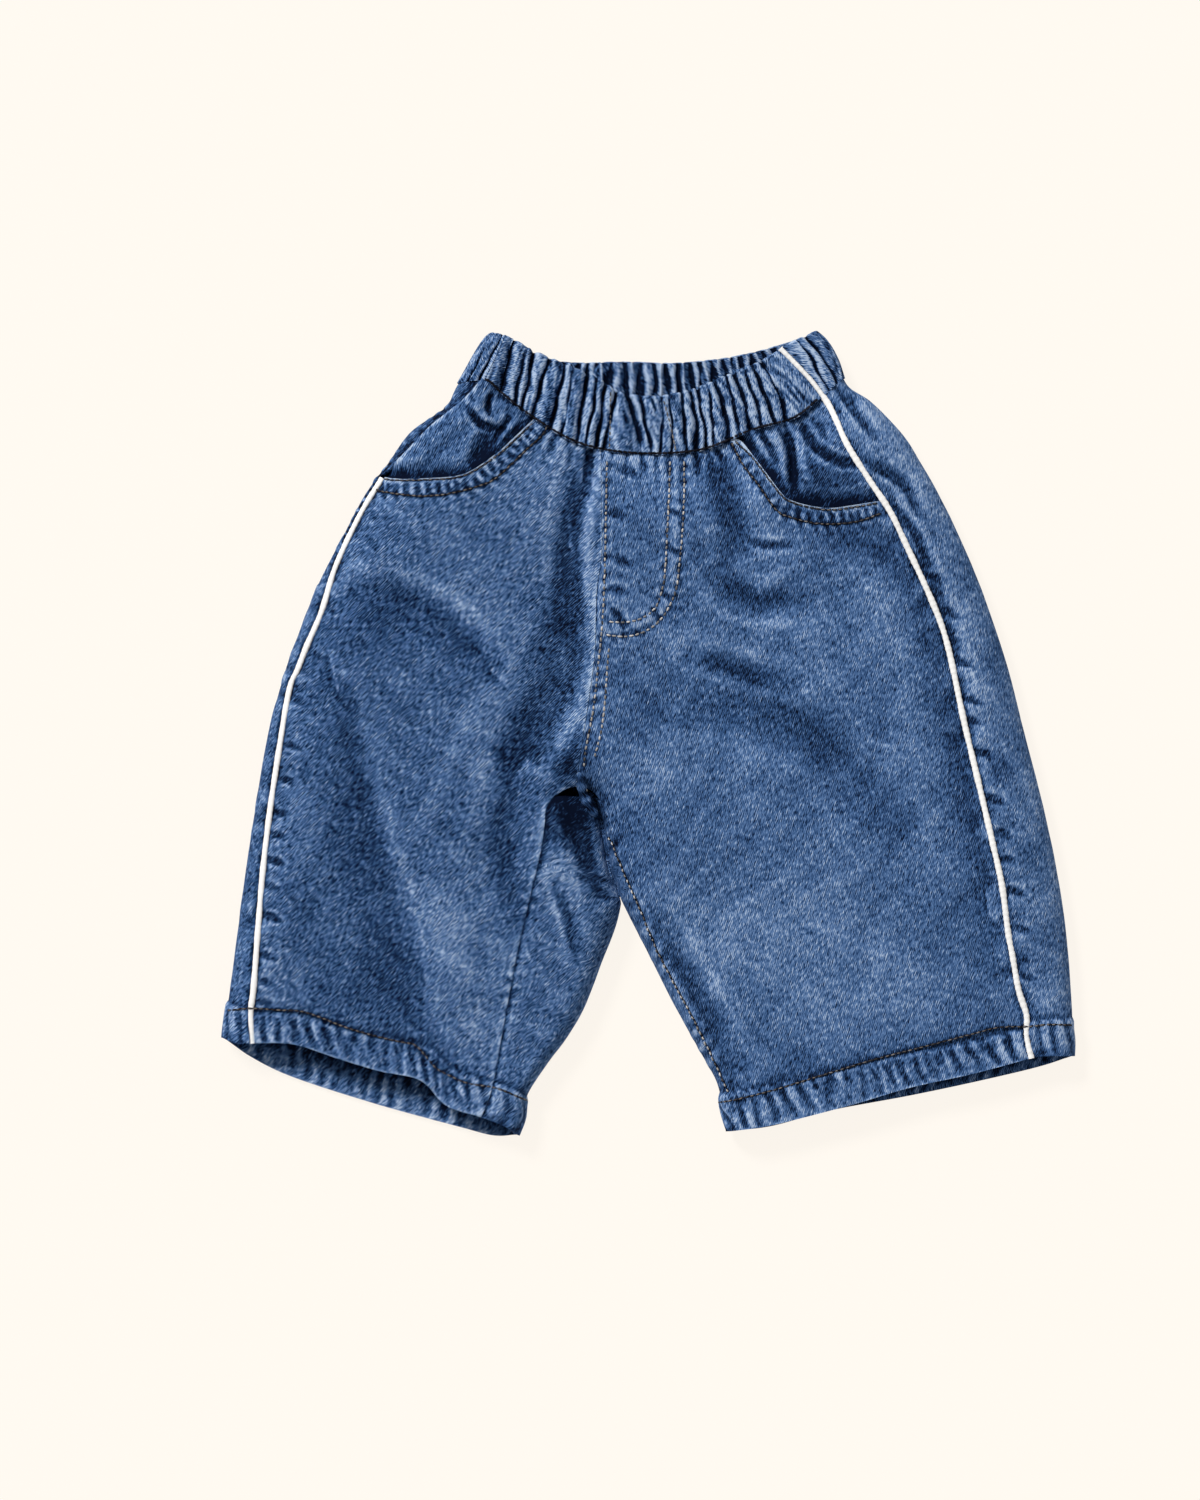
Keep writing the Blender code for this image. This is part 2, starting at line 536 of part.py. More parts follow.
def casing(name, base, way, lift, waves):
    """Casing wall with a rounded fold along its top; rows run from seam to top."""
    across = np.array([0.0, 0.5, 0.95])
    height = lift + waves[None] + (BAND_BULGE * np.sin(math.pi * across))[:, None]
    outer = base[:3] + way[:3] * height[..., None]
    inner = base[:3] + way[:3] * (height - BAND_WALL)[..., None]
    fold = base[3] + way[3] * (lift[2] + waves - 0.5 * BAND_WALL)[..., None]
    ring = np.concatenate([outer, fold[None], inner[::-1]])
    columns = ring.shape[1]
    points = ring.reshape(-1, 3)
    index = np.arange(7 * columns).reshape(7, columns)
    over = np.roll(index, -1, axis=0)
    faces = np.stack([index[:, :-1], index[:, 1:], over[:, 1:], over[:, :-1]], axis=2)
    faces = faces.reshape(-1, 4).tolist()
    faces += [index[:, 0].tolist(), index[::-1, -1].tolist()]
    return body(name, points, faces, DENIM_BLUE, 0.85)


def front_casing():
    """The gathered band from one side seam to the other."""
    u = np.linspace(0.0, 1.0, FRONT_GATHERS * COLUMNS_PER_GATHER + 1)
    v = np.array([0.0, 0.5, 0.95, 1.0])
    right_x, left_x = BAND_SIDE_RIGHT[-1][0], BAND_SIDE_LEFT[-1][0]
    seam = Route(between(band_seam, 0, right_x, left_x))
    top = Route(between(band_top, 0, BAND_SIDE_RIGHT[0][0], BAND_SIDE_LEFT[0][0]))
    xy = patch(beside(curve(BAND_SIDE_RIGHT)[::-1], -SEAM_GAP / 2),
               beside(curve(BAND_SIDE_LEFT)[::-1], PIPING_ROOM), seam, top, u, v)
    base, way = upper(xy)
    lift = np.zeros((3, 1)) + 0.2
    return casing("front_waist_casing", base, way, lift, gathers(u, FRONT_GATHERS, 0.2))


def back_casing():
    """It wraps round both ends of the band and lies under the front casing."""
    v = np.array([0.0, 0.5, 0.95, 1.0])
    near_end = np.sin(0.5 * math.pi * np.linspace(0, 1, 40))
    both_ends = 0.5 - 0.5 * np.cos(math.pi * np.linspace(0, 1, 300))
    right_end = between(outer_right, 1, BAND_SEAM[0][1], BAND_TOP[0][1])
    left_end = between(outer_left, 1, BAND_SEAM[-1][1], BAND_TOP[-1][1])
    strips = []
    for side, end, seam_x, top_x in (
            (beside(curve(BAND_SIDE_RIGHT)[::-1], SEAM_GAP / 2), right_end,
             BAND_SIDE_RIGHT[-1][0], BAND_SIDE_RIGHT[0][0]),
            (beside(curve(BAND_SIDE_LEFT)[::-1], -PIPING_ROOM), left_end,
             BAND_SIDE_LEFT[-1][0], BAND_SIDE_LEFT[0][0])):
        seam = Route(between(band_seam, 0, seam_x, end[0, 0]))
        top = Route(between(band_top, 0, top_x, end[-1, 0]))
        strips.append(patch(side, Route(end), seam, top, near_end, v))
    floor = patch(Route(right_end), Route(left_end), Route(curve(BACK_BAND_SEAM)),
                  Route(curve(BACK_BAND_TOP)), both_ends, v)
    base, way = [], []
    for xy, surface in ((strips[0], upper), (floor, lower), (strips[1][:, ::-1], upper)):
        points, outward = surface(xy)
        base.append(points)
        way.append(outward)
    columns = BACK_GATHERS * COLUMNS_PER_GATHER + 1
    flat = np.zeros((4, sum(part.shape[1] for part in base)))
    base, way, _ = even_columns(np.concatenate(base, 1), np.concatenate(way, 1), flat,
                                columns)
    lift = -0.55 - GATHER_HEIGHT * 0.5 * (1 - way[:3, :, 2])
    lift = lift - BAND_BULGE * 0.5 * (1 - way[:3, :, 2])
    waves = gathers(np.linspace(0.0, 1.0, columns), BACK_GATHERS, 0.6)
    waves = waves * abs(way[2, :, 2])
    return casing("back_waist_casing", base, way, lift, waves)


def facing(name, left, right, top, bottom, folds, height_of):
    """The cloth seen in a pocket's mouth; it runs on under the front panel's edge."""
    u, v = np.linspace(0.0, 1.0, 15), np.linspace(0.0, 1.0, 11)
    xy = patch(left, right, top, bottom, u, v, BAND_GAP)
    base, way = upper(xy)
    free = smooth_step(nearest(xy, (curve(BAND_SEAM), pocket_lines[name]))[0] / 8.0)
    height = front_relief(xy) + height_of(xy) + relief(xy, folds) * free
    return denim(name, base, way, height, np.full_like(height, DENIM))


pocket_lines = {"right_pocket_facing": curve(POCKET_RIGHT),
                "left_pocket_facing": curve(POCKET_LEFT)}


def facing_depth(xy, name):
    """How low the facing lies: under the pocket edge at the mouth, higher above it."""
    line = pocket_lines[name]
    distance = nearest(xy, (line,))[0]
    inside = xy[..., 1] > np.interp(xy[..., 0], line[:, 0], line[:, 1])
    above = smooth_step(np.where(inside, distance - 2.0, 0.0) / 9.0)
    return -3.0 + 2.2 * above, above


def right_facing_height(xy):
    """The facing's outer edge is a pleat that lies over the back panel."""
    depth, above = facing_depth(xy, "right_pocket_facing")
    pleat = smooth_step((nearest(xy, (curve(PLEAT_RIGHT),))[0] - 6.0) / 8.0)
    return depth + above * (1.0 - pleat) * 3.1


def left_facing_height(xy):
    return facing_depth(xy, "left_pocket_facing")[0]


def piping(name, route, columns):
    """A round cord along a seam, half sunk between the two edges of cloth."""
    sides = 8
    xy = at(route, np.linspace(0.0, 1.0, columns))
    base, way = upper(xy)
    centre = base + way * PIPING_RISE
    run = np.gradient(centre, axis=0)
    run /= np.linalg.norm(run, axis=1, keepdims=True)
    across = np.cross(run, way)
    across /= np.linalg.norm(across, axis=1, keepdims=True)
    up = np.cross(across, run)
    angle = np.arange(sides) * 2 * math.pi / sides
    ring = centre[:, None] + PIPING_RADIUS * (
        np.cos(angle)[None, :, None] * across[:, None]
        + np.sin(angle)[None, :, None] * up[:, None])
    index = np.arange(columns * sides).reshape(columns, sides)
    over = np.roll(index, -1, axis=1)
    faces = np.stack([index[:-1], index[1:], over[1:], over[:-1]], 2).reshape(-1, 4)
    faces = faces.tolist() + [index[0].tolist(), index[-1, ::-1].tolist()]
    return body(name, ring.reshape(-1, 3), faces, PIPING_WHITE, 0.6)


def back_hem(points, sign):
    """A back hem from its outer corner to its inner one."""
    line = curve(points)
    return line if sign > 0 else line[::-1]


def main():
    for piece in list(bpy.data.objects):
        bpy.data.objects.remove(piece)

    half = SEAM_GAP / 2 + 0.05
    side_right, side_left = curve(SIDE_RIGHT), curve(SIDE_LEFT)
    pocket_right, pocket_left = curve(POCKET_RIGHT), curve(POCKET_LEFT)
    hem_right, hem_left = curve(HEM_RIGHT), curve(HEM_LEFT)
    centre_front = curve(CENTRE_FRONT)
    inseam_right, inseam_left = curve(INSEAM_RIGHT), curve(INSEAM_LEFT)
    front_x = CENTRE_FRONT[0][0]

    # Front panels: pocket edge and waist seam on top, side seam, crotch and inseam.
    front_panel(
        "right_front_panel", beside(side_right, PIPING_ROOM),
        beside(join(centre_front, inseam_right, 0.5), -half),
        join(pocket_right, between(band_seam, 0, POCKET_RIGHT[-1][0], front_x), 0.74),
        Route(between(hem_right, 0, SIDE_RIGHT[-1][0], INSEAM_RIGHT[-1][0])))
    side_below_pocket = between(side_left, 1, POCKET_LEFT[-1][1], SIDE_LEFT[-1][1])
    front_panel(
        "left_front_panel", beside(join(centre_front, inseam_left, 0.5), half),
        beside(side_below_pocket, -PIPING_ROOM),
        join(between(band_seam, 0, front_x, POCKET_LEFT[0][0]), pocket_left, 0.42),
        Route(between(hem_left, 0, INSEAM_LEFT[-1][0], SIDE_LEFT[-1][0])))

    # Back panels: from the side seam over the outline, under, and up to the inseam.
    centre_back = curve(CENTRE_BACK)
    back_seam = curve(BACK_BAND_SEAM)
    still = Route(np.zeros((2, 2)))
    for name, outer, side, inner, inseam, hem, hem_back, seam_end, sign in (
            ("right_back_panel", outer_right, side_right, inner_right, inseam_right,
             hem_right, HEM_RIGHT_BACK, BAND_SEAM[0], 1.0),
            ("left_back_panel", outer_left, side_left, inner_left, inseam_left,
             hem_left, HEM_LEFT_BACK, BAND_SEAM[-1], -1.0)):
        edge = Route(between(outer, 1, seam_end[1] - 0.8, outer[-1, 1]))
        if sign > 0:
            lead = beside(side, -PIPING_ROOM).points
            side_edge = join(curve(UNDER_PLEAT), lead, leg_rows()[0][4])
        else:
            side_edge = beside(side, PIPING_ROOM)
        inside = beside(join(centre_back, inner, 0.5), -sign * half)
        up_to = reach_up(inside, beside(inseam, sign * half))
        hem_x = [side[-1, 0], outer[-1, 0], inner[-1, 0], inseam[-1, 0]]
        back_seam_half = between(back_seam, 0, seam_end[0], CENTRE_BACK[0][0])
        back_panel(
            name,
            (side_edge, edge, Route(between(band_seam, 0, side_edge.points[0, 0],
                                            seam_end[0])),
             Route(between(hem, 0, hem_x[0], hem_x[1]))),
            (edge, inside, Route(back_seam_half), Route(back_hem(hem_back, sign))),
            (inside, up_to, still, Route(between(hem, 0, hem_x[2], hem_x[3]))), 30)

    front_casing()
    back_casing()

    facing("right_pocket_facing", Route(curve(FACING_RIGHT_SIDE)),
           Route(curve(FACING_RIGHT_MOUTH)),
           Route(between(band_seam, 0, FACING_RIGHT_SIDE[0][0],
                         FACING_RIGHT_MOUTH[0][0])),
           Route(curve(FACING_RIGHT_FOOT)), RIGHT_FACING_FOLDS, right_facing_height)
    side_at_pocket = between(side_left, 1, SIDE_LEFT[0][1], FACING_LEFT_FOOT[-1][1])
    facing("left_pocket_facing", Route(curve(FACING_LEFT_MOUTH)),
           beside(side_at_pocket, -PIPING_ROOM),
           Route(between(band_seam, 0, FACING_LEFT_MOUTH[0][0], SIDE_LEFT[0][0])),
           Route(curve(FACING_LEFT_FOOT)), LEFT_FACING_FOLDS, left_facing_height)

    piping("right_side_piping", between(side_right, 1, 144.5, SIDE_RIGHT[-1][1]), 40)
    piping("left_side_piping",
           curve(BAND_SIDE_LEFT[:-1] + SIDE_LEFT), 56)


main()
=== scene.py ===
"""The looks of a child's pull-on denim jeans laid flat, front up.

Every piece of cloth is a wall around a base surface in millimetres. Seen from above, a
point of the base surface rises from EDGE at the outline to a crown: its height is EDGE +
rise * q(o) * q(i), where o and i are its shares of the way in from the outer sides and
from the inner legs, and q(t) = sqrt(t (2 - t)) is a quarter ellipse. Below, the surface
rolls under the outline by the same curve and lies on the plane.

The cloth's height over that base is the sum of folds, creases, seams, hems and a light
unevenness. A fold is a route with a depth: it is deepest on the route and fades to each
hand by (1 - t^2)^2. The waist casing is a row of valleys, each depth *
exp(-(d / width)^1.7) deep at a distance d, with arched cloth between them and slanting
wrinkles on it.

A line is an array of points, run from the waist to the hem or from the wearer's right to
the left. "Right" and "left" in names are the wearer's, so the right leg has negative X.
"""

import math

import bpy
import numpy as np
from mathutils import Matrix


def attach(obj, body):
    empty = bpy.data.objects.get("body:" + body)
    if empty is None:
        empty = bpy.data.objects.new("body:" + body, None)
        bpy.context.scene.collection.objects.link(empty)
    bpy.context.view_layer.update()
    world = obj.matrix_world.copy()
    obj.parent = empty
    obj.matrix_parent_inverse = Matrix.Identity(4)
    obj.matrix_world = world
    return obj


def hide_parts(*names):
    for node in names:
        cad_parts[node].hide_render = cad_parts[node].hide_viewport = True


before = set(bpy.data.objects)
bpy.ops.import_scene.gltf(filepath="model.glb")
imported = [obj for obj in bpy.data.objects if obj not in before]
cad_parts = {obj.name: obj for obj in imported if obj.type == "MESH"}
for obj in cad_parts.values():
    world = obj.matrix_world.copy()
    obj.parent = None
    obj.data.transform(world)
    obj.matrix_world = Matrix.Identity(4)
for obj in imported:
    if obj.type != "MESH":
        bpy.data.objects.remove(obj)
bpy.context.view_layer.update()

MM = 0.001
CENTRE = (0.15, -0.27, 0.0)  # moves the middle of the garment's box to the origin

# ---- Cloth and trim -------------------------------------------------------------------
DENIM = 1.4            # wall of one layer
HEM_WALL = 2.7         # hem turned twice
HEM_DEPTH = 19.5       # hem turn, measured up the leg
BAND_WALL = 3.0        # waist casing: two layers round the elastic
BAND_LIFT = 1.3        # its crests over the panels at the waist seam
BAND_BULGE = 0.8       # and its roundness from seam to top
PIPING_RADIUS = 1.75
PIPING_FLAT = 0.72     # its height against its width, pressed in the seam
PIPING_RISE = 0.3      # centre of the cord against the outer face
PIPING_ROOM = 1.45     # centre of the cord to the cloth's edge on each side
PIPING_SIDES = 14
STITCH_PITCH = 3.4
STITCH_LENGTH = 2.6
STITCH_WIDTH = 0.85
HALF_GAP = 0.15        # from the middle of a seam to the cloth's edge on each side
CHANNEL_REACH = 0.9    # half width of the channel under a row of thread
SHARP_ANGLE = 62.0     # degrees between two faces that show an edge

# ---- How the garment stands up from the plane -----------------------------------------
EDGE = 9.0             # height of the outline, where the cloth turns under
ROLL_UNDER = 9.0       # how far in the lower roll reaches
SIDE_ROUND = 8.0       # radius of the upper roll at the outer sides
INNER_ROUND = 12.0     # radius of the upper roll at the inner legs
WAIST_CROWN = 17.5     # crown at the waist seam
HIP_CROWN = 28.0       # crown at the hips
HEM_CROWN = 19.0       # crown at the hems
SWELL = 45.0           # from the waist seam to the full crown
KNEE_Y = -40.0         # below this the crown falls to the hems
HEM_Y = -200.0
ON_LINE = 0.6          # closer to a line than this, the way from it is square to it

# ---- Nominal lengths that set where along a piece a thing lies ------------------------
LEG_LENGTH = 360.0
FRONT_BAND_LENGTH = 235.0
BACK_BAND_LENGTH = 300.0
ROUND_BAND = 80.0      # from the waist seam over the top and down the inner face
BAND_FLARE = 1.07      # x on the waist seam for x on the top edge, at the back

# ---- Grids: one row and one column less are multiples of 2 and of 4 -------------------
FRONT_ROWS, FRONT_COLUMNS = 257, 137
BACK_ROWS, BACK_STRIPS = 261, (41, 113, 49)
BACK_COLUMNS, BACK_INNER_COLUMNS = 150, 50  # once resampled
FACING_ROWS, FACING_COLUMNS = 73, 97
FRONT_BAND_ROWS, FRONT_BAND_COLUMNS = 36, 761
BACK_BAND_ROWS, BACK_BAND_STRIPS, BACK_BAND_COLUMNS = 28, (61, 301, 61), 841
RIGHT_CORD_RINGS, LEFT_CORD_RINGS = 460, 620
ROUTE_POINTS = 32      # on the route of a fold
BLOCK_SIZE = 2500000   # distances worked out at a time

# ---- Stage, in metres and degrees -----------------------------------------------------
FLOOR_HALF = 3.0
FLOOR_Z = -0.0004
SUN_TURN = (-48.0, 0.0, 38.0)
CAMERA_PLACE = (-0.0279, -0.0096, 6.0)
LENS = 247.9           # millimetres, on a 36 mm sensor

# ---- Plan curves: x, y ----------------------------------------------------------------
OUTER_RIGHT = [(-89.6, 232.6), (-94.8, 228.5), (-105.8, 210.0), (-111.6, 200.7),
               (-116.9, 190.2), (-128.5, 182.1), (-139.5, 173.4), (-151.7, 156.0),
               (-164.4, 138.6), (-178.3, 112.5), (-191.7, 86.4), (-202.1, 60.3),
               (-211.4, 34.2), (-220.7, -0.6), (-228.2, -44.1), (-234.6, -87.6),
               (-239.2, -122.4), (-243.9, -157.2), (-246.5, -176.3)]
OUTER_LEFT = [(96.6, 233.7), (103.5, 226.8), (109.3, 216.3), (115.7, 201.8),
              (129.0, 192.6), (147.6, 173.4), (158.6, 156.0), (168.5, 138.6),
              (181.2, 112.5), (192.3, 86.4), (201.5, 60.3), (209.7, 34.2),
              (218.4, -0.6), (229.4, -44.1), (236.9, -78.9), (242.1, -113.7),
              (245.0, -148.5), (246.2, -174.6), (246.2, -186.8)]
BAND_TOP = [(-89.6, 232.6), (-79.2, 230.0), (-67.9, 223.6), (-47.3, 214.9),
            (-28.1, 207.1), (-17.1, 199.8), (-0.3, 197.2), (13.6, 198.4), (32.2, 203.8),
            (51.3, 212.5), (64.1, 217.5), (76.3, 224.2), (88.4, 230.3), (96.6, 233.7)]
BAND_SEAM = [(-111.6, 203.0), (-100.0, 204.7), (-93.1, 204.2), (-86.1, 197.8),
             (-69.5, 184.7), (-47.3, 171.1), (-27.5, 164.7), (0.3, 162.1), (32.2, 164.7),
             (60.9, 176.0), (86.1, 183.3), (101.2, 195.5), (108.2, 201.8),
             (114.0, 205.9)]
BACK_BAND_TOP = [(-89.6, 232.6), (-68.7, 222.7), (-47.3, 216.6), (-12.5, 216.9),
                 (16.5, 216.3), (48.2, 219.8), (76.8, 226.8), (96.6, 233.7)]
BACK_BAND_SEAM = [(-111.6, 203.0), (-86.1, 192.6), (-51.3, 183.3), (0.3, 181.2),
                  (53.1, 185.0), (87.9, 193.7), (114.0, 205.9)]
CENTRE_FRONT = [(-27.5, 164.7), (-27.3, 135.7), (-27.0, 105.6), (-29.9, 81.2),
                (-31.0, 47.6), (-34.5, 19.7), (-38.6, -6.4), (-40.4, -20.9),
                (-38.6, -30.3)]
CENTRE_BACK = [(0.3, 181.2), (-4.9, 100.9), (-15.4, 31.3), (-28.1, -15.1),
               (-36.6, -32.3)]
INSEAM_RIGHT = [(-38.6, -30.3), (-49.0, -33.1), (-58.3, -41.8), (-60.0, -52.8),
                (-62.3, -68.4), (-68.7, -95.7), (-76.3, -129.3), (-83.2, -165.9),
                (-90.2, -204.2), (-96.6, -222.1)]
INSEAM_LEFT = [(-38.6, -30.3), (-31.2, -34.4), (-25.4, -44.4), (-20.4, -58.6),
               (-14.2, -81.2), (-5.5, -100.3), (7.2, -130.5), (26.4, -167.0),
               (38.0, -193.7), (46.1, -211.1), (51.3, -229.7)]
INNER_RIGHT = [(-35.7, -34.2), (-30.8, -39.2), (-26.3, -53.4), (-21.7, -78.3),
               (-16.3, -94.9), (-16.1, -100.9), (-19.4, -113.7), (-26.4, -131.1),
               (-36.2, -157.2), (-46.1, -174.6), (-58.9, -192.0), (-69.9, -209.4),
               (-72.2, -222.7), (-75.7, -232.6)]
INNER_LEFT = [(-35.7, -34.2), (-31.2, -38.5), (-27.5, -53.4), (-22.9, -78.3),
              (-15.4, -97.2), (1.4, -130.5), (14.8, -157.2), (29.3, -183.3),
              (39.7, -202.4), (42.6, -216.9), (46.1, -230.3)]
HEM_RIGHT = [(-246.5, -176.3), (-238.1, -179.2), (-229.4, -179.2), (-206.8, -179.8),
             (-181.2, -187.9), (-156.9, -195.2), (-132.5, -200.7), (-117.4, -215.2),
             (-96.6, -222.1), (-83.2, -227.4), (-75.7, -232.6)]
HEM_RIGHT_BACK = [(-246.5, -176.3), (-230.0, -187.9), (-205.6, -199.5),
                  (-156.9, -215.2), (-108.2, -228.5), (-89.6, -233.2), (-75.7, -232.6)]
HEM_LEFT = [(46.1, -230.3), (51.3, -229.7), (73.4, -226.2), (116.3, -215.2),
            (152.2, -204.7), (188.8, -196.6), (221.8, -187.9), (231.7, -186.8),
            (246.2, -186.8)]
HEM_LEFT_BACK = [(46.1, -230.3), (70.5, -227.9), (105.3, -218.7), (151.7, -210.0),
                 (192.8, -201.3), (227.1, -193.1), (246.2, -186.8)]
SIDE_RIGHT = [(-153.4, 149.1), (-166.8, 127.0), (-181.8, 95.1), (-189.9, 69.0),
              (-197.4, 51.6), (-203.0, 37.5), (-207.9, 25.5), (-213.7, -9.3),
              (-218.9, -44.1), (-223.0, -78.9), (-225.9, -113.7), (-228.6, -148.0),
              (-230.2, -161.0), (-229.4, -179.2)]
SIDE_LEFT = [(101.2, 195.5), (105.4, 188.6), (109.0, 180.6), (115.1, 166.8),
             (127.3, 147.3), (138.9, 129.9), (147.6, 112.5), (163.8, 77.7),
             (173.1, 51.6), (182.4, 8.1), (190.5, -26.7), (198.6, -61.5),
             (204.4, -87.6), (207.9, -113.7), (211.1, -131.1), (214.3, -148.5),
             (218.9, -163.0), (218.9, -174.6), (221.8, -187.9)]
BAND_SIDE_LEFT = [(76.3, 223.3), (83.8, 215.8), (93.7, 205.3), (101.2, 195.5)]
BAND_SIDE_RIGHT = [(-82.5, 231.0), (-89.5, 216.0), (-95.0, 204.6)]
PLEAT_RIGHT = [(-97.7, 204.7), (-108.2, 192.0), (-126.7, 176.3), (-141.2, 161.2),
               (-151.1, 149.6)]
POCKET_RIGHT = [(-153.4, 149.1), (-144.1, 148.2), (-129.8, 148.5), (-107.7, 150.8),
                (-89.6, 161.8), (-79.8, 170.5), (-66.4, 183.0)]
POCKET_LEFT = [(49.0, 171.5), (54.2, 170.0), (61.0, 161.8), (69.3, 150.8),
               (77.2, 140.4), (82.1, 136.3), (92.5, 133.0), (105.3, 131.3),
               (118.0, 132.8), (135.4, 135.6)]
UNDER_PLEAT = [(-93.0, 204.2), (-104.0, 190.5), (-124.6, 174.8), (-141.7, 161.6),
               (-151.9, 150.6)]
FACING_RIGHT_SIDE = [(-97.7, 204.7), (-108.2, 192.0), (-126.7, 176.3), (-141.2, 161.2),
                     (-152.4, 150.2), (-152.0, 141.0)]
FACING_RIGHT_MOUTH = [(-58.8, 177.0), (-73.4, 163.6), (-83.2, 154.9), (-93.1, 147.3)]
FACING_RIGHT_FOOT = [(-152.0, 141.0), (-126.7, 139.2), (-104.7, 142.1), (-93.1, 147.3)]
FACING_LEFT_MOUTH = [(42.6, 168.8), (53.6, 157.2), (62.3, 145.6), (71.0, 132.8)]
FACING_LEFT_FOOT = [(71.0, 132.8), (79.8, 127.0), (91.3, 123.5), (106.4, 122.4),
                    (120.3, 124.1), (135.0, 128.4)]

# ---- Folds ----------------------------------------------------------------------------
# name, route from its waist end to its hem end, depth (negative is a ridge), and how
# far the cloth slopes on the route's right hand and left hand.
FRONT_FOLDS = [
    ("under the band", [(-33, 170), (-34.5, 158), (-36, 138)], 3.5, 4, 4),
    ("beside the fly", [(-30, 172), (-38, 147), (-42.6, 124), (-44, 95), (-42, 66)], 3.6,
     17, 9),
    ("fork", [(-45, 96), (-43, 55), (-50, 23), (-67, -8)], 3.8, 38, 14),
    ("inner thigh", [(-54, 20), (-69, -6), (-78, -38), (-83, -73), (-74, -108)], 3.4,
     24, 30),
    ("hip to thigh", [(-181, 84), (-144, 79), (-115, 63), (-95, 41)], 3.2, 26, 16),
    ("down the thigh", [(-180, 22), (-172, -15), (-162.7, -56), (-151, -96),
                        (-144, -131), (-136, -168), (-118, -196)], 3.0, 40, 16),
    ("thigh pinch", [(-98, 25), (-115, -15), (-135, -56), (-141, -68)], -0.5, 10, 12),
    ("shin crown", [(-122, -75), (-117, -120), (-110, -165)], -2.6, 20, 22),
    ("crotch hollow", [(-50, -38), (-38, -62), (-29, -88)], 4.0, 13, 13),
    ("under the crotch", [(-54, -88), (-47, -108), (-42, -130)], 1.0, 5, 9),
    ("pocket side", [(32.8, 172), (42.6, 147), (50, 124), (58, 96)], 2.8, 20, 18),
    ("below the pocket", [(36, 103), (46, 83.5), (65, 76), (88, 79)], 2.2, 15, 16),
    ("short fold", [(59, 111), (70, 108.5), (82, 109)], 1.6, 3, 5),
    ("beside the piping", [(86, 129.5), (117, 121), (143, 108), (160, 83.5), (172, 51),
                           (179, 8), (185, -38), (194, -86)], 2.8, 30, 12),
    ("across the thigh", [(16, 27), (59, 8), (99.5, -6), (139, -58)], 2.4, 28, 28),
    ("upper thigh", [(24, 46), (56, 36), (84, 28)], 1.8, 10, 12),
    ("inner shin", [(5, -110), (28, -150), (50, -190)], 2.8, 10, 14),
]
# Painted shade of the folds: how much darker the colour is there (below 0 paler, painted
# light).
SHADES = [
    ("under the hip fold", [(-176, 66), (-142, 62), (-108, 44)], 0.75, 26, 16),
    ("hip fold", [(-178, 83), (-144, 78), (-115, 62), (-96, 42)], 0.3, 5, 6),
    ("beside the fly", [(-35, 168), (-43, 135), (-50, 100), (-54, 62)], 0.8, 7, 7),
    ("fork", [(-50, 100), (-54, 62), (-66, 26), (-80, -12)], 0.8, 18, 17),
    ("inner thigh", [(-74, 21), (-81, -20), (-85, -68), (-76, -103), (-63, -115)], 0.75,
     12, 12),
    ("down the thigh", [(-176, 20), (-172, -20), (-165, -60), (-155, -100),
                        (-148, -135), (-140, -170), (-125, -192)], 0.35, 26, 8),
    ("thigh line", [(-175.6, -8), (-166.8, -32), (-160.9, -54), (-151, -95)], 0.2,
     3.5, 3.5),
    ("thigh edge", [(-158, 5), (-150, -50), (-136, -90), (-124, -140)], -0.15, 5, 12),
    ("thigh pinch", [(-98, 25), (-115, -15), (-135, -56)], -0.3, 5, 6),
    ("pocket side", [(30, 172), (40, 147), (45, 124), (48, 96)], 0.9, 10, 14),
    ("below the pocket", [(40, 96), (48, 84), (65, 78), (86, 79)], 0.8, 5, 9),
    ("short fold", [(60, 110), (70, 108), (81, 109)], 0.6, 3, 4),
    ("below the bend", [(36, 76), (60, 66), (90, 66)], -0.3, 8, 7),
    ("below the mouth", [(88, 124), (116, 114), (140, 102), (158, 78)], 0.7, 14, 10),
    ("beside the piping", [(160, 74), (171, 30), (180, -20), (192, -74), (202, -130)],
     0.45, 14, 8),
    ("across the thigh", [(28, 36), (66, 18), (100, -4), (138, -46)], 0.6, 22, 20),
    ("upper thigh", [(26, 46), (56, 34), (82, 26)], 0.35, 9, 10),
    ("inner shin", [(-4, -108), (16, -146), (36, -186), (46, -214)], 0.8, 10, 12),
    ("fly side", [(24, 150), (25, 110)], 0.4, 5, 6),
    ("crotch shadow", [(-40, 2), (-46, -16), (-55, -30)], 1.3, 5, 7),
]
# Painted shade of the facings' folds, in the same columns.
FACING_SHADES = [
    ("pit", [(-90, 198), (-92.5, 191), (-92, 186)], 2.2, 2.8, 2.8),
    ("under the round lobe", [(-103, 186), (-97, 178.5), (-89, 175.5), (-84, 177)], 2.2,
     3.0, 4.5),
    ("slant valley", [(-79, 185), (-86, 174.5), (-91, 165)], 1.6, 2.0, 2.5),
    ("hollow", [(-91, 176), (-93, 166), (-97, 156)], 2.0, 6, 7),
    ("deep valley", [(81, 173), (83, 160), (84, 140)], 3.0, 3.0, 4.0),
    ("long valley", [(88, 182), (93, 171), (104, 161), (120, 156)], 1.0, 4, 5),
    ("first valley", [(61, 179), (68, 170), (74, 158)], 1.2, 2, 2),
    ("corner", [(112, 152), (122, 142)], 0.8, 6, 6),
]
# Painted shade of the back panels' folds, in the same columns.
BACK_SHADES = [
    ("beside the piping", [(154, 112), (168, 80), (177, 54)], 1.1, 6, 9),
    ("left hip", [(130, 152), (146, 144), (155, 127)], 0.4, 3, 4),
    ("under the crotch", [(-52, -90), (-46, -108), (-43, -125)], 0.3, 4, 6),
]
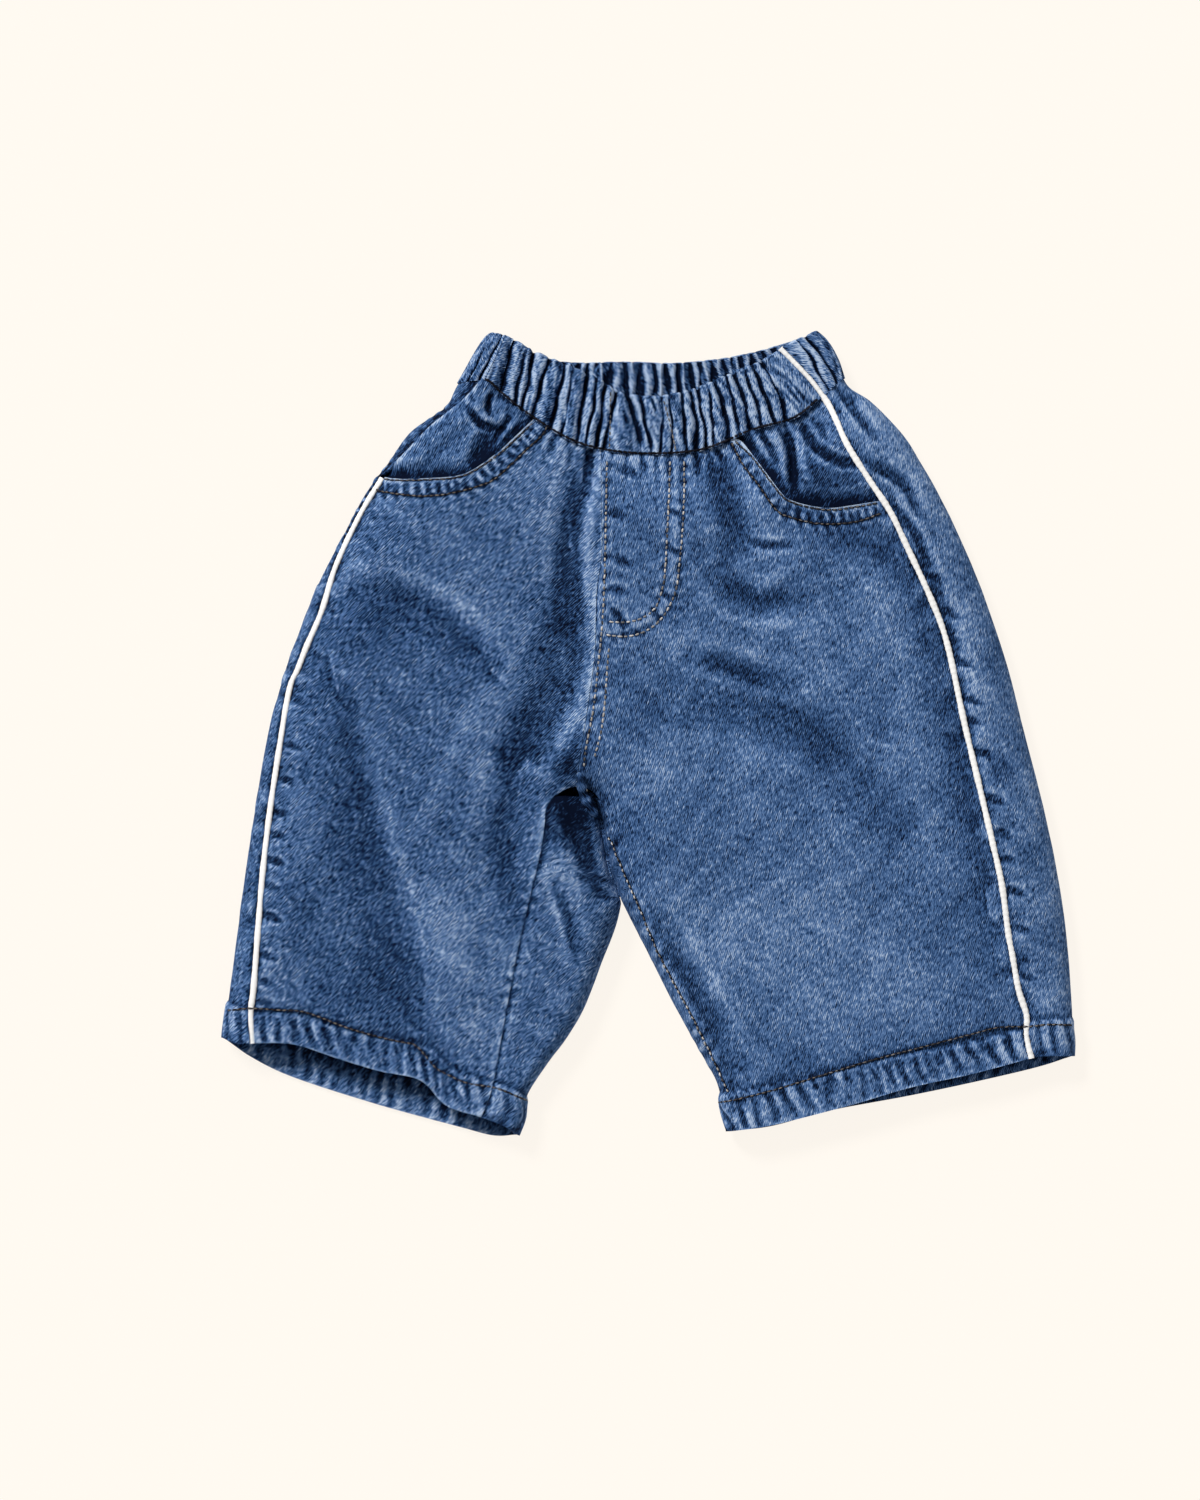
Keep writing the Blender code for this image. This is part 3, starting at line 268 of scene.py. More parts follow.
BACK_FOLDS = [
    ("right seat", [(-150, 120), (-110, 78), (-62, 52)], 2.6, 16, 12),
    ("right thigh", [(-190, 5), (-150, -25), (-95, -48)], 2.4, 14, 18),
    ("right shin", [(-95, -110), (-112, -150), (-118, -205)], 2.2, 12, 16),
    ("left seat", [(142, 118), (98, 80), (46, 62)], 2.6, 12, 16),
    ("left thigh", [(196, 20), (150, -14), (70, -30)], 2.4, 18, 14),
    ("left shin", [(96, -100), (122, -146), (150, -196)], 2.2, 15, 12),
]
RIGHT_FACING_FOLDS = [
    ("pit", [(-90, 199), (-93, 190), (-92, 185)], 3.2, 3, 3),
    ("under the round lobe", [(-104, 187), (-98, 179.5), (-89, 176.5), (-84, 178)], 2.8,
     3, 5),
    ("round lobe", [(-98, 188), (-91, 181), (-85, 183)], -1.8, 4, 4),
    ("slant valley", [(-79, 186), (-86, 175), (-91, 166)], 3.4, 3, 3),
    ("slant lobe", [(-71, 185), (-82, 172), (-89, 163)], -2.2, 4, 4),
    ("mouth valley", [(-73, 180), (-81, 172), (-87, 164)], 2.0, 2, 3),
    ("hollow", [(-90, 177), (-96, 166), (-99, 154)], 5.5, 10, 6),
    ("below the corner", [(-112, 186), (-121, 172), (-134, 160)], 0.9, 8, 10),
]
LEFT_FACING_FOLDS = [
    ("first lobe", [(57, 177), (63, 168), (69, 157)], -2.2, 4, 4),
    ("first valley", [(60, 180), (68, 170), (74, 158)], 2.6, 3, 3),
    ("second lobe", [(66, 177), (78, 166), (80, 145)], -2.4, 5, 5),
    ("deep valley", [(79, 178), (83, 162), (84, 140)], 6.5, 6, 4),
    ("third lobe", [(87, 172), (90, 154), (97, 142)], -2.2, 5, 5),
    ("long valley", [(87, 182), (96, 167), (109, 158), (119, 156)], 3.6, 5, 6),
    ("corner valley", [(92, 187), (99, 178), (103, 168)], 1.8, 4, 4),
]

CORD_TOP_Y = 148.0     # the right cord comes out from under the pleat here
CROTCH_ROUTE = [(-40.0, -22.0, 27.0), (-38.8, -29.5, 24.2), (-37.3, -36.0, 20.5),
                (-33.5, -42.5, 19.2), (-29.5, -49.0, 15.5)]

# ---- Mock fly -------------------------------------------------------------------------
FLY_WIDTH = 46.0
FLY_RISE = 0.8
FLY_STRAIGHT_Y = 85.0  # the J stitch leaves its straight part here
FLY_FOOT_Y = 57.0


def smooth_step(value):
    value = np.clip(value, 0.0, 1.0)
    return value * value * (3.0 - 2.0 * value)


def spline(points, t):
    """A Catmull-Rom curve through the points, read at places counted in points."""
    knots = np.vstack([2 * points[0] - points[1], points, 2 * points[-1] - points[-2]])
    k = np.minimum(t.astype(int), len(points) - 2)
    s = (t - k)[:, None]
    a, b, c, d = knots[k], knots[k + 1], knots[k + 2], knots[k + 3]
    return 0.5 * (2 * b + (c - a) * s + (2 * a - 5 * b + 4 * c - d) * s ** 2
                  + (3 * b - a - 3 * c + d) * s ** 3)


def curve(points, count=160):
    """The spline through the points, resampled evenly along its length."""
    points = np.asarray(points, float)
    line = spline(points, np.linspace(0.0, len(points) - 1.0, 12 * len(points)))
    return at(line, np.linspace(0.0, 1.0, count))


def spread(count, step):
    """Spline weights that spread every step-th value of a row over the whole row."""
    return spline(np.eye((count - 1) // step + 1), np.arange(count) / step)


def unit(vectors):
    """The same directions with length one."""
    return vectors / np.linalg.norm(vectors, axis=-1, keepdims=True)


def steps(points):
    """Distance from each point of a line, or of a grid's rows, to the next."""
    return np.linalg.norm(np.diff(points, axis=-2), axis=-1)


def from_zero(step):
    """The running sum of the steps along each row, from zero on."""
    zero = np.zeros_like(step[..., :1])
    return np.concatenate([zero, np.cumsum(step, axis=-1)], axis=-1)


def lengths(points):
    """Length to each point from the start of a line, or of each row of a grid."""
    return from_zero(steps(points))


def read(values, grid, places):
    """Rows of values known on a grid of places, read at other places."""
    return np.stack([np.interp(places, grid, column) for column in values.T], axis=-1)


def at(line, share):
    """Points at the given shares of a line's length."""
    length = lengths(line)
    return read(line, length, np.asarray(share) * length[-1])


def even(line, t):
    """Points of a line by its own even parameter instead of by its length."""
    return read(line, np.linspace(0.0, 1.0, len(line)), t)


def join(first, second, share, count=400):
    """Two lines end to end; the first takes the given share of the parameter."""
    t = np.linspace(0.0, 1.0, count)
    head = at(first, np.clip(t / share, 0, 1))
    tail = at(second, np.clip((t - share) / (1 - share), 0, 1))
    return np.where((t < share)[:, None], head, tail)


def beside(line, distance):
    """The line moved sideways, towards its left hand when the distance is positive."""
    run = unit(np.gradient(line, axis=0))
    return line + distance * np.stack([-run[:, 1], run[:, 0]], axis=1)


def between(line, axis, start, end):
    """The stretch of a line from one coordinate on the axis to another."""
    share = np.linspace(0.0, 1.0, 1600)
    fine = at(line, share)
    first = share[np.argmin(abs(fine[:, axis] - start))]
    last = share[np.argmin(abs(fine[:, axis] - end))]
    return at(line, np.linspace(first, last, 200))


def patch(left, right, top, bottom, u, v):
    """Plan points of a four-sided patch: ruled between its sides, bent by its ends."""
    left_side, right_side = even(left, v)[:, None], even(right, v)[:, None]
    ends = [(even(side, u) - ((1 - u)[:, None] * side[0] + u[:, None] * side[-1]))[None]
            for side in (top, bottom)]
    u, v = u[None, :, None], v[:, None, None]
    return (1 - u) * left_side + u * right_side + (1 - v) * ends[0] + v * ends[1]


outer_right, outer_left = curve(OUTER_RIGHT), curve(OUTER_LEFT)
inner_right, inner_left = curve(INNER_RIGHT), curve(INNER_LEFT)
inseam_right, inseam_left = curve(INSEAM_RIGHT), curve(INSEAM_LEFT)
side_right, side_left = curve(SIDE_RIGHT), curve(SIDE_LEFT)
hem_right, hem_left = curve(HEM_RIGHT), curve(HEM_LEFT)
hem_right_back, hem_left_back = curve(HEM_RIGHT_BACK), curve(HEM_LEFT_BACK)
centre_front, centre_back = curve(CENTRE_FRONT), curve(CENTRE_BACK)
band_seam, band_top = curve(BAND_SEAM), curve(BAND_TOP)
back_seam, back_top = curve(BACK_BAND_SEAM), curve(BACK_BAND_TOP)
pleat = curve(PLEAT_RIGHT)
pocket_lines = {"right_facing": curve(POCKET_RIGHT), "left_facing": curve(POCKET_LEFT)}
pocket_right, pocket_left = pocket_lines.values()
# The outline, each line run so that the cloth is on its left hand.
OUTER_EDGES = (outer_right, outer_left[::-1])
INNER_EDGES = (inner_right[::-1], inner_left)


def measure(xy, lines):
    """Per point: its distance and gap from the nearest of the lines, and there the run,
    the number and the share passed of the line's step."""
    start = np.vstack([line[:-1] for line in lines])
    run = np.vstack([np.diff(line, axis=0) for line in lines])
    size2 = (run * run).sum(1)
    flat = xy.reshape(-1, 2)
    parts = []
    for block in np.array_split(flat, max(1, len(flat) * len(start) // BLOCK_SIZE)):
        gap = block[:, None] - start
        share = np.clip((gap * run).sum(2) / size2, 0.0, 1.0)
        gap -= share[..., None] * run
        reach = (gap * gap).sum(2)
        pick = reach.argmin(1)
        best = np.arange(len(pick)), pick
        parts.append((np.sqrt(reach[best]), gap[best], pick, share[best]))
    size, gap, pick, share = (np.concatenate(part) for part in zip(*parts))
    return size, gap, run[pick], pick, share


def nearest(xy, lines):
    """Distance to the nearest of the lines, and the unit direction away from it."""
    size, gap, run, _, _ = measure(xy, lines)
    square = unit(np.stack([-run[:, 1], run[:, 0]], axis=1))
    clear = np.clip(size / ON_LINE, 0.0, 1.0)[:, None]
    way = unit(clear * gap / np.maximum(size, 1e-6)[:, None] + (1.0 - clear) * square)
    return size.reshape(xy.shape[:-1]), way.reshape(xy.shape)


def from_edges(xy, lines):
    """The same on a grid, worked out at some of its points and spread over the rest."""
    if xy.ndim < 3:
        return nearest(xy, lines)
    down, across = spread(xy.shape[0], 2), spread(xy.shape[1], 4)
    size, way = nearest(xy[::2, ::4], lines)
    way = np.einsum("ia,abk,jb->ijk", down, way, across, optimize=True)
    way /= np.maximum(np.linalg.norm(way, axis=2, keepdims=True), 1e-9)
    return down @ size @ across.T, way


def along(xy, line):
    """Signed distance to a line, positive on its left hand, and length along it."""
    size, gap, run, pick, share = measure(xy, (line,))
    hand = np.sign(run[:, 0] * gap[:, 1] - run[:, 1] * gap[:, 0])
    return size * hand, lengths(line)[pick] + share * steps(line)[pick]


def quarter(share):
    """Height of a quarter ellipse, and its slope."""
    share = np.clip(share, 1e-3, 1.0)
    height = np.sqrt(share * (2.0 - share))
    return height, (1.0 - share) / height


def crown(xy):
    """Height of the upper surface away from the edges."""
    seam_y = np.interp(xy[..., 0], band_seam[:, 0], band_seam[:, 1])
    below = smooth_step((seam_y - xy[..., 1]) / SWELL)
    fall = smooth_step((KNEE_Y - xy[..., 1]) / (KNEE_Y - HEM_Y))
    body = HIP_CROWN + (HEM_CROWN - HIP_CROWN) * fall
    return WAIST_CROWN + (body - WAIST_CROWN) * below


def upper(xy):
    """Upper base surface: its points and its outward direction."""
    out, out_way = from_edges(xy, OUTER_EDGES)
    inn, inn_way = from_edges(xy, INNER_EDGES)
    rise = crown(xy) - EDGE
    out_reach, in_reach = rise ** 2 / SIDE_ROUND, rise ** 2 / INNER_ROUND
    out_q, out_slope = quarter(out / out_reach)
    in_q, in_slope = quarter(inn / in_reach)
    height = EDGE + rise * out_q * in_q
    slope = (rise * out_slope * in_q / out_reach)[..., None] * out_way
    slope = slope + (rise * in_slope * out_q / in_reach)[..., None] * inn_way
    return with_direction(xy, height, -slope, 1.0)


def lower(xy):
    """Lower base surface: it rolls under the outline and lies on the plane."""
    edge, way = from_edges(xy, OUTER_EDGES + INNER_EDGES)
    q, slope = quarter(edge / ROLL_UNDER)
    q = np.where(edge >= ROLL_UNDER, 1.0, q)
    height = EDGE * (1.0 - q)
    outward = -(EDGE * slope / ROLL_UNDER)[..., None] * way
    return with_direction(xy, height, outward, -1.0)


def with_direction(xy, height, outward, up):
    """Points of a surface and its unit direction, from its plan and its slopes."""
    way = np.concatenate([outward, np.full_like(height, up)[..., None]], axis=-1)
    return np.concatenate([xy, height[..., None]], axis=-1), unit(way)


def beyond(base, way, height):
    """The points of a base surface moved out by a height."""
    return base + way * height[..., None]


# ---- Heights over the base ------------------------------------------------------------
def close_to(flat, line, room):
    """Which points lie in the line's box, or within the room outside it."""
    return np.all((flat > line.min(0) - room) & (flat < line.max(0) + room), axis=1)


def sum_near(xy, rows, stride, form):
    """The sum of a form over lines: what it gives for the way to a line and along it.

    rows: a line, how far from its box it reaches, and what the form needs besides. The
    way is measured to every stride-th point of the line.
    """
    flat = xy.reshape(-1, 2)
    total = np.zeros(len(flat))
    for line, room, *needs in rows:
        close = close_to(flat, line, room)
        if close.any():
            total[close] += form(*along(flat[close], line[::stride]), *needs)
    return total.reshape(xy.shape[:-1])


def relief(xy, folds):
    """Height of the folds: each is deepest on its route and fades to both hands."""
    flat = xy.reshape(-1, 2)
    total = np.zeros(len(flat))
    for _, route, depth, right_hand, left_hand in folds:
        line = curve(route, ROUTE_POINTS)
        near = close_to(flat, line, max(right_hand, left_hand))
        if not near.any():
            continue
        size, gap, run, pick, share = measure(flat[near], (line,))
        hand = run[:, 0] * gap[:, 1] - run[:, 1] * gap[:, 0]
        reach = np.where(hand < 0, right_hand, left_hand)
        along_it = (pick + share) / (ROUTE_POINTS - 1)
        taper = np.sqrt(np.sin(math.pi * np.clip(along_it, 0.05, 0.95)))
        fade = np.clip(1.0 - (size / reach) ** 2, 0.0, 1.0) ** 2
        total[near] -= depth * taper * fade
    return total.reshape(xy.shape[:-1])


def unevenness(xy, seed=0.0):
    """Soft lumps of cloth: sine waves of several lengths, bent by one another."""
    x, y = xy[..., 0], xy[..., 1]
    bend_x = x + 9.0 * np.sin(y / 23.0 + seed) + 4.0 * np.sin(y / 9.7 + 2.0 * seed)
    bend_y = y + 8.0 * np.sin(x / 19.0 + 1.3 + seed) + 3.5 * np.sin(x / 8.3 + seed)
    lumps = 0.34 * np.sin(bend_x / 13.0 + seed) * np.sin(bend_y / 17.0)
    lumps = lumps + 0.20 * np.sin((bend_x + bend_y) / 8.1) * np.sin(bend_y / 11.0)
    lumps = lumps + 0.10 * np.sin((bend_x - 0.7 * bend_y) / 4.3)
    return lumps + 0.06 * np.sin(bend_y / 2.9 + seed) * np.sin(bend_x / 3.1)


def clear_of_outline(xy):
    """1 on the open cloth, 0 on the outline, where a fold would change the shape."""
    edge = from_edges(xy, OUTER_EDGES + INNER_EDGES)[0]
    return smooth_step(edge / 8.0)


def fly_step(xy):
    """The mock fly's extra layer, from the centre front to its J-shaped edge."""
    centre = np.interp(xy[..., 1], [-30.3, 47.6, 105.6, 164.7],
                       [-38.6, -31.0, -27.0, -27.5])
    turn = np.clip((FLY_STRAIGHT_Y - xy[..., 1]) / (FLY_STRAIGHT_Y - FLY_FOOT_Y), 0, 1)
    width = FLY_WIDTH * np.sqrt(1.0 - turn ** 2)
    inside = smooth_step((centre + width - xy[..., 0]) / 3.0)
    return FLY_RISE * inside * (xy[..., 0] > centre) * (turn < 1.0)


def seams(xy, rows):
    """Sewn lines: a shallow channel under the thread and uneven puckers beside it.

    rows: line, depth of the channel, height of the puckers, their length, their reach.
    """
    def sewn(side, where, depth, pucker, length, reach):
        near = np.exp(-(side / reach) ** 2)
        wobble = 1.1 * np.sin(where / 17.0) + 0.9 * np.sin(where / 7.3 + 1.0)
        waves = np.sin(2 * math.pi * (where + 0.5 * side) / length + wobble)
        waves = waves * (0.75 + 0.5 * np.sin(where / 11.0 + 2.0))
        return pucker * waves * near - depth * np.exp(-(side / CHANNEL_REACH) ** 2)

    return sum_near(xy, [(row[0], 2.5 * row[4], *row[1:]) for row in rows], 3, sewn)


def front_height(xy):
    """All that shapes the front: folds, creases, fly, seams and unevenness."""
    open_cloth = clear_of_outline(xy)
    height = relief(xy, FRONT_FOLDS) * open_cloth + fly_step(xy)
    height = height + relief(xy, CREASES) * open_cloth
    height = height + seams(xy, SEWN_LINES)
    return height + unevenness(xy) * (0.3 + 0.7 * open_cloth)


def in_hem(above):
    """1 between a hem's edge and its stitches, 0 outside."""
    return smooth_step(above / 1.5) * smooth_step((HEM_DEPTH + 1.0 - above) / 3.0)


def hem_roping(where, above):
    """Slanting ropes of a turned hem, from its stitches down to its edge."""
    lean = where + 0.16 * above + 1.2 * np.sin(above / 4.0 + where / 9.0)
    waves = np.sin(2 * math.pi * lean / 9.8 + 1.8 * np.sin(where / 15.0))
    waves = waves + 0.5 * np.sin(2 * math.pi * lean / 17.0 + 1.9 * np.sin(where / 9.0))
    waves = np.minimum(waves, 0.45)
    middle = 0.55 + 0.55 * np.sin(math.pi * np.clip(above / HEM_DEPTH, 0.0, 1.0))
    return 0.60 * waves * in_hem(above) * middle * (1.0 + 0.4 * np.sin(where / 6.3))


def hem_tone(where, above):
    """Pale and dark bars of a worn hem, with dark blots under its stitches."""
    lean = where + 0.2 * above
    bars = np.sin(2 * math.pi * lean / 9.4 + 1.6 * np.sin(where / 17.0))
    patchy = 0.55 + 0.45 * np.sin(where / 6.7 + above / 4.0)
    blots = np.sin(2 * math.pi * where / 8.3 + 2.0 * np.sin(where / 19.0))
    blots = np.clip(blots, 0.0, 1.0) * np.exp(-((HEM_DEPTH - 4.5 - above) / 4.0) ** 2)
    return in_hem(above) * (bars * patchy - 2.2 * blots)


# ---- Meshes ---------------------------------------------------------------------------
def wall(name, outer, inner, uv, wear_and_shade, material):
    """A closed wall between two grids of points in millimetres."""
    rows, columns = outer.shape[:2]
    size = rows * columns
    points = np.concatenate([outer.reshape(-1, 3), inner.reshape(-1, 3)])
    index = np.arange(size).reshape(rows, columns)
    a, b = index[:-1, :-1].ravel(), index[:-1, 1:].ravel()
    c, d = index[1:, 1:].ravel(), index[1:, :-1].ravel()
    rim = np.concatenate([index[0, :], index[1:, -1], index[-1, -2::-1],
                          index[-2:0:-1, 0]])
    after = np.roll(rim, -1)
    faces = np.vstack([np.stack([a, d, c, b], 1), np.stack([a, b, c, d], 1) + size,
                       np.stack([rim, after, after + size, rim + size], 1)])
    return body(name, points, faces, np.concatenate([uv.reshape(-1, 2)] * 2),
                np.concatenate([wear_and_shade.ravel(), wear_and_shade.ravel()]), material)


def body(name, points, faces, uv, wear_and_shade, material):
    """A named mesh of four-sided faces with its UVs in metres and its wear and painted
    shade.
    """
    corners = points[faces]
    turned = np.cross(corners[:, 2] - corners[:, 0], corners[:, 3] - corners[:, 1])
    if (corners.mean(1) * turned).sum() < 0:
        faces = faces[:, ::-1]
    mesh = bpy.data.meshes.new(name)
    mesh.vertices.add(len(points))
    mesh.vertices.foreach_set("co", ((points + CENTRE) * MM).astype(np.float32).ravel())
    mesh.loops.add(faces.size)
    mesh.loops.foreach_set("vertex_index", faces.astype(np.int32).ravel())
    mesh.polygons.add(len(faces))
    mesh.polygons.foreach_set("loop_start", np.arange(0, faces.size, 4, dtype=np.int32))
    mesh.update(calc_edges=True)
    layer = mesh.uv_layers.new(name="UVMap")
    layer.data.foreach_set("uv", (uv[faces.ravel()] * MM).astype(np.float32).ravel())
    # This attribute holds real wear together with painted shade and painted light.
    worn_and_shaded = mesh.attributes.new("wear_and_shade", "FLOAT", "POINT")
    worn_and_shaded.data.foreach_set("value", wear_and_shade.astype(np.float32))
    mesh.shade_smooth()
    mesh.set_sharp_from_angle(angle=math.radians(SHARP_ANGLE))
    mesh.materials.append(material)
    piece = bpy.data.objects.new(name, mesh)
    bpy.context.scene.collection.objects.link(piece)
    return piece


def blur(grid, reach):
    """Mean over a square of 2 * reach + 1 cells each way."""
    for axis in (0, 1):
        padded = np.concatenate([np.repeat(np.take(grid, [0], axis), reach + 1, axis),
                                 grid,
                                 np.repeat(np.take(grid, [-1], axis), reach, axis)], axis)
        total = np.cumsum(padded, axis)
        count = grid.shape[axis]
        high = np.take(total, np.arange(2 * reach + 1, 2 * reach + 1 + count), axis)
        low = np.take(total, np.arange(count), axis)
        grid = (high - low) / (2 * reach + 1)
    return grid


def wear_and_shade_of(height):
    """Faded on ridges by wear, and darker in grooves as painted shade: height against its
    surroundings.
    """
    sharp = (height - blur(height, 2)) / 0.20
    broad = (height - blur(height, 8)) / 1.2
    return np.clip(0.6 * sharp + 0.7 * broad, -1.1, 1.1)


def edges_worn_and_shaded(xy, edges):
    """Extra fading along the edges that rub, and painted shadow along gaps and under
    edges, by exp(-(d / reach)^2).
    """
    def rubbed_and_shaded(side, where, strength, reach):
        patchy = 0.75 + 0.35 * np.sin(where / 4.1) + 0.2 * np.sin(where / 1.7 + 1.0)
        return strength * patchy * np.exp(-(side / reach) ** 2)

    return sum_near(xy, [(line, 3.0 * reach, strength, reach)
                         for line, strength, reach in edges], 4, rubbed_and_shaded)


def washed_and_shaded(xy, places):
    """Broad paler and darker places of the wash, and of painted light and painted shade:
    strength * exp(-(d / reach)^2).
    """
    total = np.zeros(xy.shape[:-1])
    for x, y, reach, strength in places:
        total += strength * np.exp(-((xy - (x, y)) ** 2).sum(-1) / reach ** 2)
    return total


def cloth_wall(name, base, way, height, thickness, uv, material, tones, more=0.0):
    """A wall of cloth with its wear and painted shade from its relief, its edges, its wash
    and its shades.
    """
    xy = base[..., :2]
    edges, places, shades = tones
    wear_and_shade = wear_and_shade_of(height) + edges_worn_and_shaded(xy, edges) + washed_and_shaded(xy, places) + more
    # Painted shade: the folds' shades and the creases darken the colour where they would
    # lie in shadow.
    wear_and_shade = wear_and_shade + relief(xy, shades) + 0.35 * relief(xy, CREASES)
    wear_and_shade = np.where(wear_and_shade < -1.0, -1.0 + 0.45 * (wear_and_shade + 1.0), wear_and_shade)
    return wall(name, beyond(base, way, height), beyond(base, way, height - thickness), uv,
                wear_and_shade, material)


def grid_uv(base, hand):
    """UVs in millimetres: lengths across, mirrored at the outline, and the plan's y."""
    out = hand * base[..., 0]
    length = lengths(base[..., ::2])
    rows = np.arange(len(base))
    outline, inner = out.argmax(1), out.argmin(1)
    way_in = length - length[rows, outline][:, None]
    turn = way_in[rows, inner][:, None]
    way_in = abs(turn - abs(way_in - turn))
    across = hand * (out[rows, outline][:, None] - way_in)
    return np.stack([across, base[..., 1]], axis=-1)


def leg_rows(count):
    """Rows from waist to hem, with the crotch at 0.5: their height and their walls."""
    rows = np.linspace(0.0, 1.0, count)
    hem = 1.0 - HEM_DEPTH / LEG_LENGTH
    walls = DENIM + (HEM_WALL - DENIM) * smooth_step((rows - hem) / 0.008)
    return rows, (1.0 - rows)[:, None] * LEG_LENGTH, walls[:, None]


def hem_height(where, above):
    """Height of the hem's turned layers and of its ropes."""
    turned = smooth_step((HEM_DEPTH - above) / 2.5) * (HEM_WALL - DENIM)
    return turned + hem_roping(where, above)


def front_panel(name, left, right, top, bottom, material):
    """A front panel inside four plan lines: sides from waist to hem, top and hem."""
    rows, above, thickness = leg_rows(FRONT_ROWS)
    xy = patch(left, right, top, bottom, np.linspace(0.0, 1.0, FRONT_COLUMNS), rows)
    base, way = upper(xy)
    where = lengths(base)
    height = front_height(xy) + hem_height(where, above) - waist_pull(xy)
    return cloth_wall(name, base, way, height, thickness, xy, material,
                      (WORN_AND_SHADED_EDGES, WASH_AND_SHADE, SHADES), hem_tone(where, above) + pocket_bars(xy))


def pocket_bars(xy):
    """Dark and pale bars across the turned edge of each pocket, between its rows."""
    def bars(side, where):
        far = abs(side)
        window = smooth_step((far - 2.8) / 1.0) * smooth_step((10.4 - far) / 1.5)
        waves = np.sin(2 * math.pi * where / 5.3 + 1.4 * np.sin(where / 7.0))
        return window * (1.6 * waves - 0.6)

    return sum_near(xy, [(line, 12.0) for line in pocket_lines.values()], 4, bars)


def waist_pull(xy):
    """Small gathers where the panels are drawn into the waist seam."""
    def pull(side, where):
        waves = np.sin(2 * math.pi * where / 7.4 + 1.2 * np.sin(where / 13.0))
        waves = waves + 0.6 * np.sin(2 * math.pi * where / 4.3 + 2.0)
        return 0.6 * np.exp(-abs(side) / 8.0) * waves + 1.6 * np.exp(-abs(side) / 2.2)

    return sum_near(xy, [(band_seam, 30.0)], 1, pull)


def resample(base, way, gauges, stops):
    """Rows of points and directions, read at other places of their gauges."""
    data = np.stack([read(*row) for row in
                     zip(np.concatenate([base, way], axis=2), gauges, stops)])
    return data[..., :3], unit(data[..., 3:])


def even_columns(base, way, columns, inner_edge, inner_columns, reach=14.0):
    """Resample each row so that a column spans like lengths and like turns."""
    gauges = from_zero(steps(base) + 12.0 * steps(way))
    stops = []
    for gauge, length in zip(gauges, lengths(base)):
        split = np.interp(length[inner_edge] - reach, length, gauge)
        before = split * np.linspace(0.0, 1.0, columns - inner_columns)
        after = np.linspace(split, gauge[-1], inner_columns + 1)[1:]
        stops.append(np.concatenate([before, after]))
    return resample(base, way, gauges, stops)


def reach_up(inside, seam):
    """The back panel's inner edge, which leaves the crotch to meet the inseam."""
    t = np.linspace(0.0, 1.0, 400)
    start = even(inside, t)
    end = even(seam, np.clip(2.0 * t - 1.0, 0.0, 1.0))
    return start + (end - start) * smooth_step((t - 0.5) / 0.04)[:, None]


def three_strips(strips, v, columns):
    """Base points and directions of a strip on top, the underside and a strip on top."""
    made = [surface(patch(*strip, u, v))
            for strip, u, surface in zip(strips, columns, (upper, lower, upper))]
    return [list(part) for part in zip(*made)]


def near_start(count):
    """Shares from 0 to 1 that lie closer together towards 0."""
    return 1.0 - np.cos(0.5 * math.pi * np.linspace(0, 1, count))


def near_end(count):
    """Shares from 0 to 1 that lie closer together towards 1."""
    return np.sin(0.5 * math.pi * np.linspace(0, 1, count))


def both_ends(count):
    """Shares from 0 to 1 that lie closer together towards both."""
    return 0.5 - 0.5 * np.cos(math.pi * np.linspace(0, 1, count))


def back_panel(name, strips, hand, material):
    """Outer strip on top, the underside, and the strip beyond the inner leg."""
    rows, above, thickness = leg_rows(BACK_ROWS)
    first, middle, last = BACK_STRIPS
    base, way = three_strips(strips, rows,
                             (near_end(first), both_ends(middle), near_start(last)))
    above_crotch = rows < 0.501
    for part in (base, way):
        part[2][above_crotch] = part[1][above_crotch, -1:]
    base, way = even_columns(np.concatenate(base, 1), np.concatenate(way, 1),
                             BACK_COLUMNS, first + middle - 1, BACK_INNER_COLUMNS)
    xy, up, where = base[..., :2], way[..., 2], lengths(base)
    under = np.minimum(relief(xy, BACK_FOLDS), 0.0) * clear_of_outline(xy)
    under = under + np.minimum(unevenness(xy, 4.0), 0.0) * 0.5
    ropes = hem_height(where, above)
    height = (np.where(up > 0, front_height(xy), under)
              + np.where(up > -0.5, ropes, np.minimum(ropes, 0.0)))
    # On the underside the ropes are on the inner face, towards the mouth of the leg.
    inside = hem_roping(where + 4.0, above) * (up < -0.5)
    bars = 2.2 * hem_tone(where + 4.0, above) * (up < -0.5)
    return cloth_wall(name, base, way, height, thickness + 1.4 * inside,
                      grid_uv(base, hand), material, (BACK_EDGES, BACK_WASH_AND_SHADE, BACK_SHADES),
                      0.8 * inside + bars)


